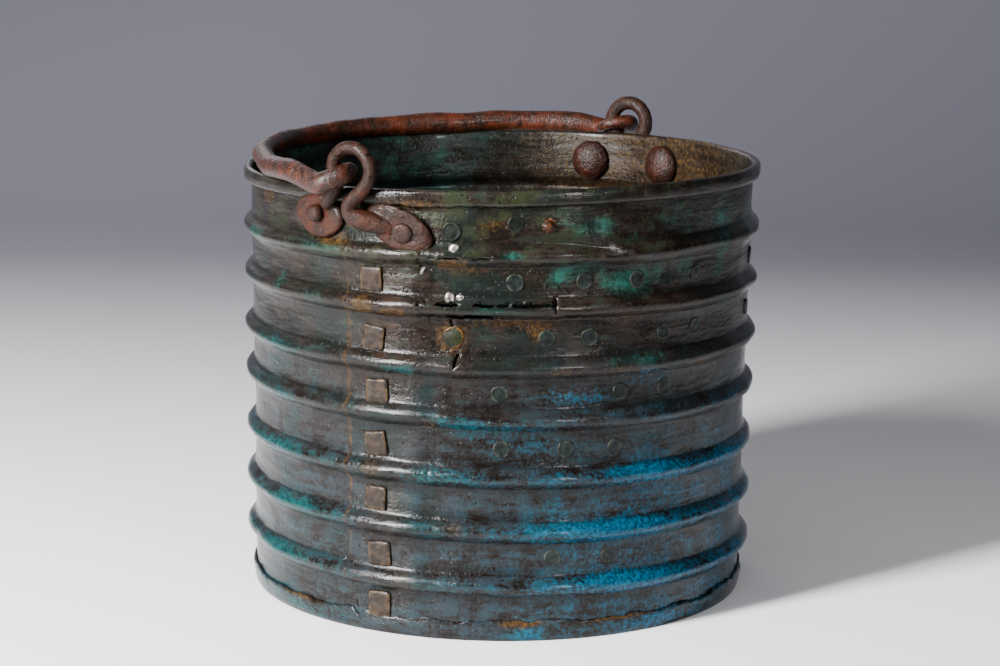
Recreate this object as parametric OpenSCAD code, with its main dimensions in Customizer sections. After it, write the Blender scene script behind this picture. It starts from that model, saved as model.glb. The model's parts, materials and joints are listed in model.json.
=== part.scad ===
// Ribbed sheet-bronze bucket with a forged iron swing handle.
// The side is one strip of sheet, ribbed, bent round and closed by a riveted lap seam.
// Millimetres. Origin: centre of the underside. +Z up. The handle's hinge runs along X.
// Bearings are degrees from the front lug, anticlockwise as seen from above.

/* [Bucket] */
// Outside diameter over the rim hem
rim_d = 300; // [240:1:380]
// Overall height to the top of the rim hem
bucket_h = 249; // [225:1:320]
// How far the foot stands inside the rim, measured on the radius
foot_inset = 5.3; // [3:0.1:8]
// Thickness of the bronze sheet
sheet_t = 1; // [0.8:0.1:1.4]

/* [Rim hem] */
// Width of the folded hem, wall included
hem_w = 5; // [4.5:0.1:7]
// Height of the folded hem
hem_h = 9; // [7:0.5:12]
// Gap left between the hem's turned-in edge and the wall
hem_gap = 0.5; // [0.3:0.1:0.8]

/* [Ribs] */
// From the top of the rim down to the crest of the first rib
top_band_h = 35.5; // [34:0.5:45]
// Height of the lowest rib's crest above the ground
foot_band_h = 31; // [28:0.5:36]
// How far a rib stands out from the bands
rib_proud = 5.2; // [3:0.1:6.5]
// Length of the long slope above a crest
rib_upper = 7.5; // [6:0.5:9]
// Length of the short slope below a crest
rib_lower = 5.5; // [4.5:0.5:7]
// Width of the flattened crest
crest_w = 1.6; // [1:0.1:2.5]

/* [Lap seam] */
// Where the outer sheet's exposed edge lies, along the wall from the front lug
seam_edge_s = -9; // [-20:0.5:-4]
// Width of the overlap along the wall
seam_w = 50; // [35:1:60]
// Where the column of seam rivets lies, along the wall from the front lug
seam_rivet_s = 9; // [3:0.5:20]
// Side of a square seam rivet head
seam_head = 12.8; // [10:0.2:15.6]
// Thickness of a seam rivet head
seam_head_t = 1.4; // [0.8:0.1:2]

/* [Repairs] */
// Thickness of the repair plates inside
plate_t = 1; // [0.8:0.1:1.5]
// Diameter of a flush patch rivet head
patch_head_d = 9; // [7:0.5:11]
// Thickness of a flush patch rivet head
patch_head_t = 0.6; // [0.4:0.1:1.2]
// Diameter of the shank of seam and patch rivets
shank_d = 4.6; // [3.5:0.1:6]
// How much the hammered tail of a rivet stands proud inside
tail_t = 1.2; // [0.8:0.1:2]
// How far a rivet's tail spreads past its shank
tail_lap = 1.6; // [1:0.1:2.5]
// Diameter of the rivet set over the long crack
crack_head_d = 12; // [10:0.5:14]
// Height of that rivet's dome
crack_dome_h = 1.2; // [0.6:0.1:2]
// Diameter of the dark rivet beside the front lug
dark_head_d = 10; // [8:0.5:12]
// Diameter of the copper rivet in the top band
copper_head_d = 8; // [6:0.5:10]
// Height of the copper rivet's dome
copper_dome_h = 1; // [0.5:0.1:2]
// Bearings between which the horizontal tear runs
tear_a = [17, 51]; // [5:1:80]
// Height of the horizontal tear below the second rib
tear_h = 1.2; // [0.6:0.1:2]

/* [Base] */
// Thickness of the base disc
base_t = 1; // [0.8:0.1:1.5]
// Height of the base's edge, folded up round the wall
lip_h = 11; // [8:0.5:14]
// Thickness of the folded edge
lip_t = 1.2; // [1:0.1:2]

/* [Lugs] */
// How far the rings' centres, on the handle's hinge line, stand above the rim
ring_up = 8; // [7:0.5:12]
// Diameter of the forged bar of a ring
ring_bar_d = 7.5; // [6:0.1:8]
// Radius of a ring's centreline
ring_r = 12; // [11.5:0.1:14]
// Gap between the rings and the rim hem
ring_gap = 1.9; // [1.5:0.1:3]
// Thickness of a palm over the seam
palm_t = 4.6; // [4.2:0.1:5.5]
// Radius of a palm round its rivet
palm_r = 13; // [11:0.5:14]
// Places of the front lug's two rivets, along the wall from the lug
front_palm_s = [-24, 28]; // [-38:0.5:38]
// Heights of the front lug's two rivets above the first rib's crest
front_palm_up = [21.5, 14.5]; // [14:0.5:23]
// Places of the rear lug's two rivets, along the wall from the lug
rear_palm_s = [-33, 20.5]; // [-38:0.5:38]
// Heights of the rear lug's two rivets above the first rib's crest
rear_palm_up = [18, 18]; // [14:0.5:23]
// How far a palm is drawn out past its rivet
palm_drawn = 4; // [2:0.5:5]
// Diameter and height of the stub left standing on the front lug's left rivet
stub_end = [8.6, 3.2]; // [1:0.2:12]
// Diameter and height of the other lug rivets' ends, hammered flat
flat_end = [10.5, 1]; // [1:0.5:14]
// Diameter of a lug rivet's shank
lug_shank_d = 8; // [6:0.5:9]
// Diameter of a lug rivet's domed head inside
lug_dome_d = 20; // [16:0.5:22]
// Height of that dome
lug_dome_h = 6.5; // [4:0.5:8]

/* [Handle] */
// Diameter of the handle's bar
bail_bar_d = 11.5; // [9:0.5:14]
// Diameter of the bar where it is drawn out into an eye
eye_bar_d = 6.5; // [5:0.1:6.8]
// Play left between an eye and the ring it turns on
eye_play = 0.9; // [0.7:0.1:1.5]
// How far below the hinge line an eye hangs on its ring at rest, in degrees
eye_sag_a = 18; // [12:1:20]
// How far an eye tips outwards over the rim, in degrees
eye_tip_a = 14; // [10:1:16]
// Bearing from the lug at which the handle's shoulder meets the rim
shoulder_a = 40; // [30:1:50]
// Gap kept between the resting handle and the rim
rest_gap = 0.3; // [0.2:0.1:1]
// How far outside the hem's middle the bar runs between its eye and its shoulder
shank_out = 9.5; // [6:0.5:12]
// How far the bar swings outside the hem's middle just before its shoulder
shoulder_out = 3; // [1:0.5:5]

/* [Hidden] */
$fn = 96;
// Clearance round a shank, between pieces seated on each other, and between free edges
fit = 0.05;
seat = 0.1;
clear = 0.3;
// How far a shank or a cutting shape runs on inside what it meets
run_in = 1;

// Derived radii and heights
rim_r = rim_d / 2;
hinge_z = bucket_h + ring_up;
top_r = rim_r - hem_w + sheet_t;
foot_r = rim_r - foot_inset;
wall_z0 = base_t + fit;
wall_foot_r = foot_r - lip_t - fit;
wall_rise = bucket_h - wall_z0;
wall_lean = atan((top_r - wall_foot_r) / wall_rise);
hem_z0 = bucket_h - hem_h;
hem_mid_r = rim_r - hem_w / 2;
rib_count = 7;
rib_pitch = (bucket_h - top_band_h - foot_band_h) / (rib_count - 1);
// A rib's slopes begin this far below and above its crest, at this share of its depth
slope_under = crest_w;
slope_over = crest_w * 1.4;
shoulder_soft = 0.82;
// How far a cutting shape reaches inside the wall's outer face
cut_depth = 6 * sheet_t;

// Degrees of bearing taken up by a distance along the wall
function around(s) = s / top_r * 180 / PI;

seam_edge_a = around(seam_edge_s);
seam_w_a = around(seam_w);
seam_rivet_a = around(seam_rivet_s);

// Outer radius of the bands at a height, ribs left out
function shell_r(z) = wall_foot_r + (top_r - wall_foot_r) * (z - wall_z0) / wall_rise;

// Height of a rib's crest, counted from the top
function rib_z(i) = bucket_h - top_band_h - (i - 1) * rib_pitch;

// Middle of the flat of a band; band 1 lies above the first rib, band 8 below the last
function band_z(i) = i <= rib_count ? (rib_z(i - 1) + rib_z(i) + rib_upper - rib_lower) / 2
    : (wall_z0 + lip_h + rib_z(rib_count) - rib_lower) / 2;

// One rib's outline from its foot to its head, as [radius, height]
function rib_outline(z, off) = [
    [shell_r(z - rib_lower) + off, z - rib_lower],
    [shell_r(z) + rib_proud * shoulder_soft + off, z - slope_under],
    [shell_r(z) + rib_proud + off, z - crest_w / 2],
    [shell_r(z) + rib_proud + off, z + crest_w / 2],
    [shell_r(z) + rib_proud * shoulder_soft + off, z + slope_over],
    [shell_r(z + rib_upper) + off, z + rib_upper]
];

// The wall's outer face between two heights, moved out by off
function wall_outline(z0, z1, off) = concat(
    [[shell_r(z0) + off, z0]],
    [for (i = [rib_count:-1:1]) each rib_outline(rib_z(i), off)],
    [[shell_r(z1) + off, z1]]
);

function backwards(points) = [for (i = [len(points) - 1:-1:0]) points[i]];

// A turned skin between two offsets of the wall's outer face
module skin(z0, z1, inner, outer, sweep = 360) {
    rotate_extrude(angle = sweep)
        polygon(concat(wall_outline(z0, z1, outer), backwards(wall_outline(z0, z1, inner))));
}

// Everything inside the wall's outer face round the first rib, plus a clearance
module rib_envelope(off, sweep = 360) {
    low = rib_z(1) - 2 * rib_lower;
    high = hinge_z;
    rotate_extrude(angle = sweep)
        polygon(concat(
            [[shell_r(low) - cut_depth, low], [shell_r(low) + off, low]],
            rib_outline(rib_z(1), off),
            [[shell_r(high) + off, high], [shell_r(high) - cut_depth, high]]
        ));
}

// Everything inside the hem's outer face, plus a clearance
module hem_envelope(off) {
    rotate_extrude()
        translate([top_r - cut_depth, hem_z0 - off])
            square([cut_depth + hem_w - sheet_t + off, 2 * hem_h]);
}

// Section of the folded hem, open at its turned-in edge
module hem_section() {
    round_r = hem_w / 2;
    difference() {
        hem_outline(round_r);
        hem_outline(round_r - sheet_t);
        translate([top_r, hem_z0 - run_in])
            square([hem_gap, hem_h / 2]);
    }
}

module hem_outline(r) {
    top_z = bucket_h - hem_w / 2;
    low_z = hem_z0 + hem_w / 2;
    translate([hem_mid_r, top_z]) circle(r);
    translate([hem_mid_r, low_z]) circle(r);
    translate([hem_mid_r - r, low_z]) square([2 * r, top_z - low_z]);
}

// Puts children on the wall at [bearing, height]: their +Z points straight out of the sheet
module on_wall(at, out = 0) {
    rotate([0, 0, 180 + at[0]])
        translate([shell_r(at[1]), 0, at[1]])
            rotate([0, 90 + wall_lean, 0])
                translate([0, 0, out])
                    children();
}

// Sagitta: how far a curved face falls away under a flat of half width h
function sag(r, h) = r - sqrt(r * r - h * h);

// Gaps from the lap's inner end to the rivet on the long crack, and from a palm to the dark rivet
crack_gap = 6.5;
dark_gap = 2;

// Rivet tables as [bearing, height]
upper_rivets = concat(
    [for (a = [34, 49, 61.5, 69, 79]) [a, band_z(2)]],
    [for (a = [41, 50.5, 69, 79]) [a, band_z(3)]]
);
middle_rivets = concat(
    [for (a = [31, 58, 69.5]) [a, band_z(4)]],
    [for (a = [31.5, 45.5, 57]) [a, band_z(5)]]
);
lower_rivets = [for (a = [43, 56]) [a, band_z(7)]];
plate_rivets = concat(upper_rivets, middle_rivets, lower_rivets);
crack_rivet_s = seam_edge_s + seam_w + crack_head_d / 2 + crack_gap;
crack_rivet_at = [around(crack_rivet_s), band_z(3)];
dark_rivet_s = front_palm_s[1] + palm_r + palm_drawn + dark_head_d / 2 + dark_gap;
side_rivets = [[111, band_z(2)], [108, band_z(3)]];
band_rivets = [[around(dark_rivet_s), band_z(1) - 3], [34, band_z(1) + 1], [41, band_z(1)]];
loose_rivets = concat([crack_rivet_at], side_rivets, band_rivets);

// Bearings between which each repair plate runs, and its margin above and below its rivets
upper_plate_a = [29.5, 84];
middle_plate_a = [26.5, 74.5];
lower_plate_a = [38, 61];
plate_edge = 8;

function lug_rivet_at(side, i) = side == 0
    ? [around(front_palm_s[i]), rib_z(1) + front_palm_up[i]]
    : [180 + around(rear_palm_s[i]), rib_z(1) + rear_palm_up[i]];

module wall() {
    color([0.16, 0.27, 0.27])
    difference() {
        union() {
            skin(wall_z0, bucket_h - hem_w / 2, -sheet_t, 0);
            rotate_extrude() hem_section();
            rotate([0, 0, 180 + seam_edge_a])
                skin(wall_z0 + lip_h, hem_z0 - clear, -sheet_t / 2, sheet_t, seam_w_a);
        }
        for (i = [1:7]) rivet_hole([seam_rivet_a, band_z(i + 1)], shank_d);
        for (at = concat(plate_rivets, loose_rivets)) rivet_hole(at, shank_d);
        for (side = [0, 1], i = [0, 1]) rivet_hole(lug_rivet_at(side, i), lug_shank_d);
        tear();
    }
}

module rivet_hole(at, d) {
    on_wall(at)
        cylinder(h = 10 * sheet_t, r = d / 2 + fit, center = true);
}

// The long horizontal tear in the lower slope of the second rib
module tear() {
    tear_z = rib_z(2) - rib_lower / 2;
    rotate([0, 0, 180 + tear_a[0]])
        rotate_extrude(angle = tear_a[1] - tear_a[0])
            translate([shell_r(tear_z) - cut_depth, tear_z - tear_h / 2])
                square([2 * cut_depth + rib_proud, tear_h]);
}

module base_pan() {
    color([0.13, 0.22, 0.22])
    rotate_extrude()
        polygon([
            [0, 0],
            [foot_r - lip_t, 0],
            [foot_r, lip_t],
            [foot_r, lip_h - 2 * lip_t],
            [foot_r - lip_t / 2, lip_h],
            [shell_r(lip_h) + fit, lip_h],
            [wall_foot_r + fit, base_t],
            [0, base_t]
        ]);
}

// A seam or patch rivet: head outside, shank through the sheet, hammered tail inside
module rivet(at, head_d, head_t, lap = 0, behind = 0, square_head = false, dome = 0) {
    face = lap * sheet_t + seat;
    tail_r = shank_d / 2 + tail_lap;
    back_r = shell_r(at[1]) - sheet_t - behind;
    back = face + sheet_t + behind + sag(back_r, tail_r) + seat;
    on_wall(at, face) {
        if (square_head) translate([-head_d / 2, -head_d / 2, 0]) cube([head_d, head_d, head_t]);
        else cylinder(h = head_t, d = head_d);
        if (dome > 0) cap(head_d, dome, head_t);
        translate([0, 0, -back - tail_t / 2]) cylinder(h = back + tail_t / 2 + head_t / 2, d = shank_d);
        translate([0, 0, -back - tail_t]) cylinder(h = tail_t, r = tail_r);
    }
}

// A spherical cap of a given width and height, standing on z
module cap(d, h, z) {
    ball_r = (d * d / 4 + h * h) / (2 * h);
    translate([0, 0, z])
    intersection() {
        translate([0, 0, h - ball_r]) sphere(r = ball_r);
        cylinder(h = h + run_in, d = d + run_in);
    }
}

module seam_rivet(i) {
    color([0.2, 0.2, 0.19])
        rivet([seam_rivet_a, band_z(i + 1)], seam_head, seam_head_t, lap = 1, square_head = true);
}

module patch_rivet(at) {
    color([0.14, 0.25, 0.25])
        rivet(at, patch_head_d, patch_head_t, behind = plate_t + seat);
}

module side_rivet(at) {
    color([0.14, 0.25, 0.25]) rivet(at, patch_head_d, patch_head_t);
}

module band_rivet_dark() {
    color([0.1, 0.12, 0.1]) rivet(band_rivets[0], dark_head_d, patch_head_t);
}

module band_rivet_spot() {
    color([0.12, 0.14, 0.12]) rivet(band_rivets[1], patch_head_d, patch_head_t);
}

module band_rivet_copper() {
    color([0.5, 0.28, 0.16]) rivet(band_rivets[2], copper_head_d, patch_head_t, dome = copper_dome_h);
}

module crack_rivet() {
    color([0.3, 0.25, 0.15]) rivet(crack_rivet_at, crack_head_d, patch_head_t, dome = crack_dome_h);
}

// A repair plate riveted inside the wall, bridging any rib it crosses. a is [first, last bearing]
module repair_plate(a, z0, z1) {
    gap = sheet_t + seat;
    color([0.15, 0.24, 0.24])
    difference() {
        rotate([0, 0, 180 + a[0]])
            rotate_extrude(angle = a[1] - a[0])
                polygon([
                    [shell_r(z0) - gap - plate_t, z0],
                    [shell_r(z0) - gap, z0],
                    [shell_r(z1) - gap, z1],
                    [shell_r(z1) - gap - plate_t, z1]
                ]);
        for (at = plate_rivets) rivet_hole(at, shank_d);
    }
}

module repair_plate_upper() { repair_plate(upper_plate_a, band_z(3) - plate_edge, band_z(2) + plate_edge); }

module repair_plate_middle() { repair_plate(middle_plate_a, band_z(5) - plate_edge, band_z(4) + plate_edge); }

module repair_plate_lower() { repair_plate(lower_plate_a, band_z(7) - plate_edge, band_z(7) + plate_edge); }

// Lugs: one forged bar each, bent to a ring and beaten out into two palms
ring_x = rim_r + ring_bar_d / 2 + ring_gap;
palm_face_r = top_r + sheet_t + palm_t;
// Angle below the hinge line at which a ring's bar parts into its two legs
ring_open_a = 52;
// Radius of a leg's bend, the distance of its centre from the ring's, and its slightly thinner bar
leg_r = 6.5;
leg_far = ring_r + leg_r;
leg_bar_d = ring_bar_d - 0.5;
// How much thicker a bar is where a bend has been hammered
swell = 0.6;
// A leg's flat neck ends this many degrees inboard of its rivet, at this share of its drop
neck_in_a = 4;
neck_share = 0.35;

// One quarter-turn or longer piece of round bar, bent in the YZ plane about [y, z]
module bent_bar(y, z, r, from, sweep, d) {
    translate([ring_x, y, z])
        rotate([90, 0, 90])
            rotate([0, 0, from])
                rotate_extrude(angle = sweep)
                    translate([r, 0]) circle(d = d);
}

// A straight bar between two points, with a slight hammered swelling at its far end
module bar(p, q, d1, d2, extra) {
    run = q - p;
    length = norm(run);
    translate(p)
        rotate([0, acos(run[2] / length), atan2(run[1], run[0])]) {
            cylinder(h = length, d1 = d1, d2 = d2);
            translate([0, 0, length]) sphere(d = d2 + extra);
        }
}

// One leg of a lug: from the ring down, out to its palm. way is +1 or -1 along Y
module lug_leg(way, a, z) {
    knee_y = leg_far * cos(ring_open_a);
    knee_z = hinge_z - leg_far * sin(ring_open_a);
    leg_low = knee_z - leg_r;
    if (way > 0) bent_bar(knee_y, knee_z, leg_r, 180 - ring_open_a, 90 + ring_open_a, leg_bar_d);
    else bent_bar(-knee_y, knee_z, leg_r, 270, 90 + ring_open_a, leg_bar_d);
    translate([ring_x, way * ring_r * cos(ring_open_a), hinge_z - ring_r * sin(ring_open_a)])
        sphere(d = ring_bar_d + swell);
    translate([ring_x, way * knee_y, leg_low])
        sphere(d = leg_bar_d + swell);
    palm_mid_r = palm_face_r - palm_t / 2;
    neck = abs(a) - neck_in_a;
    neck_z = z + (leg_low - z) * neck_share;
    palm_point = [palm_mid_r * cos(neck), way * palm_mid_r * sin(neck), neck_z];
    bar([ring_x, way * knee_y, leg_low], palm_point, leg_bar_d, palm_t, swell);
}

// A palm: a leaf of thick sheet bent to the wall, standing off ribs and seam
module palm(way, a, z, turn) {
    leaf_y = way * palm_face_r * sin(abs(a));
    leaf_depth = palm_t + 4 * sheet_t;
    difference() {
        intersection() {
            translate([palm_face_r / 2, leaf_y, z])
                rotate([90, 0, 90])
                    linear_extrude(palm_face_r)
                        leaf(way);
            rotate_extrude()
                translate([palm_face_r - leaf_depth, 0])
                    square([leaf_depth, hinge_z]);
        }
        rib_envelope(seat);
        rotate([0, 0, turn + 180 + seam_edge_a - clear])
            rib_envelope(seat + sheet_t, seam_w_a + 2 * clear);
        hem_envelope(2 * seat);
    }
}

// A palm's outline: a round leaf, drawn out at its far side and towards the ring
module leaf(way) {
    circle(palm_r);
    translate([way * palm_drawn, -1]) circle(palm_r - 1.5);
    polygon([
        [0, palm_r * 0.96],
        [-way * palm_r * 1.5, palm_r * 0.75],
        [-way * palm_r * 1.5, 0],
        [-way * palm_r * 0.6, -palm_r * 0.75],
        [0, -palm_r * 0.9]
    ]);
}

// side 0 is the front lug, side 1 the rear one
module lug(side) {
    turn = side == 0 ? 180 : 0;
    ring_span = 180 + 2 * ring_open_a;
    color([0.36, 0.2, 0.15])
    rotate([0, 0, turn])
    difference() {
        union() {
            bent_bar(0, hinge_z, ring_r, -ring_open_a, ring_span, ring_bar_d);
            for (i = [0, 1]) {
                at = lug_rivet_at(side, i);
                way = i == 0 ? -1 : 1;
                a = at[0] - 180 * side;
                lug_leg(way, a, at[1]);
                palm(way, a, at[1], -turn);
            }
        }
        for (i = [0, 1]) {
            at = lug_rivet_at(side, i);
            rotate([0, 0, -turn])
                on_wall(at)
                    cylinder(h = 6 * palm_t, r = lug_shank_d / 2 + fit, center = true);
        }
    }
}

module lug_front() { lug(0); }

module lug_rear() { lug(1); }

// A lug rivet: domed head inside the bucket, end hammered over the palm outside
module lug_rivet(side, i, end) {
    at = lug_rivet_at(side, i);
    face = palm_face_r + seat - shell_r(at[1]);
    back_r = shell_r(at[1]) - sheet_t;
    back = face + sheet_t + sag(back_r, lug_dome_d / 2) + 2 * seat;
    color([0.34, 0.17, 0.12])
    on_wall(at, face) {
        cylinder(h = end[1], d = end[0]);
        translate([0, 0, -back - run_in]) cylinder(h = back + run_in + end[1] / 2, d = lug_shank_d);
        translate([0, 0, -back]) mirror([0, 0, 1]) cap(lug_dome_d, lug_dome_h, 0);
    }
}

// The handle: a round bar bowed over the rim, with an eye at each end round its ring
rest_z = bucket_h + bail_bar_d / 2 + rest_gap;
// Bearing, before the shoulder, at which the bar starts to turn in over the rim
shoulder_lead_a = 6;
// The bar leaves its eye this far round it, as shares of the eye's radius outwards and back
throat_share = [0.8, 0.75];
// How far the bar's centreline dips at its shank and rises at its shoulder
bar_wave = 1;

module bail_half() {
    eye_r = (ring_bar_d + eye_bar_d) / 2 + eye_play;
    eye_y = ring_r * cos(eye_sag_a);
    eye_z = hinge_z - ring_r * sin(eye_sag_a);
    translate([ring_x, eye_y, eye_z])
        rotate([-eye_sag_a, eye_tip_a, 0])
            rotate_extrude() translate([eye_r, 0]) circle(d = eye_bar_d);
    throat_out = eye_r * throat_share[0];
    throat_back = eye_r * throat_share[1];
    throat = [
        ring_x + throat_out,
        eye_y + throat_back,
        eye_z - throat_out * sin(eye_tip_a) - throat_back * sin(eye_sag_a)
    ];
    shank = rim_point(shoulder_a / 2, shank_out, rest_z - bar_wave);
    shoulder = rim_point(shoulder_a - shoulder_lead_a, shoulder_out, rest_z + bar_wave);
    seat_on = rim_point(shoulder_a, 0, rest_z);
    bar(throat, shank, eye_bar_d + swell - seat, bail_bar_d, swell);
    bar(shank, shoulder, bail_bar_d, bail_bar_d, swell);
    bar(shoulder, seat_on, bail_bar_d, bail_bar_d, rest_gap);
}

// A point at a bearing from the rear lug and a height, off outside the hem's middle
function rim_point(a, off, z) = [(hem_mid_r + off) * cos(a), (hem_mid_r + off) * sin(a), z];

module bail() {
    color([0.38, 0.16, 0.1]) {
        bail_half();
        mirror([1, 0, 0]) bail_half();
        translate([0, 0, rest_z])
            rotate([0, 0, shoulder_a])
                rotate_extrude(angle = 180 - 2 * shoulder_a)
                    translate([hem_mid_r, 0]) circle(d = bail_bar_d);
    }
}

wall();
base_pan();
lug_front();
lug_rear();
bail();
lug_rivet(0, 0, stub_end);  // lug_rivet_front_left
lug_rivet(0, 1, flat_end);  // lug_rivet_front_right
lug_rivet(1, 0, flat_end);  // lug_rivet_rear_left
lug_rivet(1, 1, flat_end);  // lug_rivet_rear_right
for (i = [1:7])
    seam_rivet(i);
repair_plate_upper();
repair_plate_middle();
repair_plate_lower();
for (i = [1:9])
    patch_rivet(upper_rivets[i - 1]);
for (i = [1:6])
    patch_rivet(middle_rivets[i - 1]);
for (i = [1:2])
    patch_rivet(lower_rivets[i - 1]);
crack_rivet();
side_rivet(side_rivets[0]);  // side_rivet_upper
side_rivet(side_rivets[1]);  // side_rivet_lower
band_rivet_dark();
band_rivet_spot();
band_rivet_copper();
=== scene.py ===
import json
import math

import bmesh
import bpy
import numpy as np
from mathutils import Matrix, Vector


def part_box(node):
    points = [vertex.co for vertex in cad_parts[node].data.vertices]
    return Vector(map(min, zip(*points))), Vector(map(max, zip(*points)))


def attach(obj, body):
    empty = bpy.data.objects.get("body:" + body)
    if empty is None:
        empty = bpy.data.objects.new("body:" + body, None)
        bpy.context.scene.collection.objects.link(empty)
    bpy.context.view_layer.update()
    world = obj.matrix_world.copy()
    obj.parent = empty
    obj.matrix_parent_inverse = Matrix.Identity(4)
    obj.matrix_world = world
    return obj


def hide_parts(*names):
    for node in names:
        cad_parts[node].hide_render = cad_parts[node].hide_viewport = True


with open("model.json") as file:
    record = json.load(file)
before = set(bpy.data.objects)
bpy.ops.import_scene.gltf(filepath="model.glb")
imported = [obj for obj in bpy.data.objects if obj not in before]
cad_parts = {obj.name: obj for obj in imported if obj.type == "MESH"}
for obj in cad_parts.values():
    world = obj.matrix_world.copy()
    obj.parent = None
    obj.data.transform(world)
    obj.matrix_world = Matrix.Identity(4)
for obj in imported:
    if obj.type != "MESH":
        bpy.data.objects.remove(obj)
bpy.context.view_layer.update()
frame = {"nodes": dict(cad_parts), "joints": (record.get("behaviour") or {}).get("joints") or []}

# ---------------------------------------------------------------------------
# The wall
# One strip of hammered tin bronze, 1 mm thick, swaged into seven ribs, bent
# round and lapped on itself. Its top edge is rolled outwards into a hem.
# It is dented, cracked along the first two ribs, and long buried, then waxed.
# ---------------------------------------------------------------------------
MM = 0.001
SHEET = 1.0 * MM
RIM_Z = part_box("wall")[1].z
WALL_FOOT_Z = 1.2 * MM
FOOT_R = 143.45 * MM
TOP_R = 146.0 * MM
HEM_W, HEM_H = 5.0 * MM, 9.0 * MM

# Heights of the seven crests; the second and fourth ribs were swaged a little high
RIB_Z = [RIM_Z - (35.5 + 30.4 * i) * MM for i in range(7)]
RIB_Z[1] += 2.0 * MM
RIB_Z[3] += 2.0 * MM
RIB_PROUD = 5.2 * MM
# One rib's section: distance above its crest, and share of its full depth
RIB_RISE = np.array([-7.2, -6.4, -5.6, -4.0, -2.2, -0.8, 0.6, 1.8, 3.2, 4.8, 6.0, 7.4]) * MM
RIB_SHARE = np.array([0.0, 0.02, 0.16, 0.5, 0.86, 1.0, 1.0, 0.9, 0.62, 0.2, 0.04, 0.0])

# Bearings are in degrees from the front lug, anticlockwise from above
LAP_START, LAP_END = -3.53, 16.1
# Degrees between columns of the strip, where it is damaged and where it is plain
FINE_STEP, PLAIN_STEP = 0.70, 1.25


def lattice_noise(points, size, seed):
    """A smooth random field from -1 to 1, with bumps about size across."""
    p = np.asarray(points) / size
    cell = np.floor(p).astype(np.int64)
    part = p - cell
    part = part * part * (3 - 2 * part)
    total = np.zeros(p.shape[:-1])
    for corner in range(8):
        step = np.array([corner & 1, corner >> 1 & 1, corner >> 2 & 1])
        c = cell + step
        h = c[..., 0] * 73856093 ^ c[..., 1] * 19349663 ^ c[..., 2] * 83492791
        h = (h ^ seed * 2654435761) & 0x7FFFFFFF
        h = (h * 1103515245 + 12345) & 0x7FFFFFFF
        h = ((h ^ h >> 13) * 1274126177) & 0x7FFFFFFF
        weight = np.prod(np.where(step, part, 1 - part), axis=-1)
        total += weight * ((h >> 8 & 0xFFFF) / 32767.5 - 1)
    return total


def ramp(value, low, high):
    """0 below low, 1 above high, and a smooth rise between them."""
    x = np.clip((value - low) / (high - low), 0, 1)
    return x * x * (3 - 2 * x)


def spot(a, z, a0, z0, wide, tall):
    """1 at a bearing and height, falling to 0 over wide and tall millimetres."""
    turn = (a - a0 + 180) % 360 - 180
    across = np.radians(turn) * TOP_R / (wide * MM)
    up = (z - z0 * MM) / (tall * MM)
    return np.exp(-(across**2 + up**2))


def shell_r(z):
    """The outer radius of the plain wall at a height."""
    return FOOT_R + (TOP_R - FOOT_R) * z / RIM_Z


def rib_out(z):
    """How far the ribs push the sheet out at a height."""
    return sum(RIB_PROUD * np.interp(z - crest, RIB_RISE, RIB_SHARE) for crest in RIB_Z)


def round_point(a, r, z):
    """The point at a bearing, radius and height."""
    turn = np.radians(180 + np.asarray(a, float))
    return np.stack(np.broadcast_arrays(r * np.cos(turn), r * np.sin(turn), z), axis=-1)


# The bucket has settled askew: its ribs and rim run out of level across the front.
# Height, and the slope in degrees at that height
SETTLE_Z = np.array([0, 18, 31, 125, 152, 183, 213, 249]) * MM
SETTLE_DEG = np.array([0, 0.6, 0.9, 0.9, 0.3, -0.2, -0.7, -1.4])
ACROSS = np.array([math.cos(math.radians(-59)), math.sin(math.radians(-59))])


def settled(points):
    """Points moved up or down as the battered bucket has settled."""
    out = np.array(points, float)
    across = out[..., 0] * ACROSS[0] + out[..., 1] * ACROSS[1]
    slope = np.tan(np.radians(np.interp(out[..., 2], SETTLE_Z, SETTLE_DEG)))
    # The right-hand end of the rim was pushed back down
    slope = slope * (1 - 0.55 * ramp(across, 50 * MM, 150 * MM) * ramp(out[..., 2], 200 * MM, 245 * MM))
    out[..., 2] -= slope * across
    # and the bands below it sank there too
    sunk = np.exp(-(((out[..., 2] - 197 * MM) / (20 * MM)) ** 2))
    out[..., 2] -= 3.2 * MM * ramp(across, 30 * MM, 140 * MM) * sunk
    return out


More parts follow.
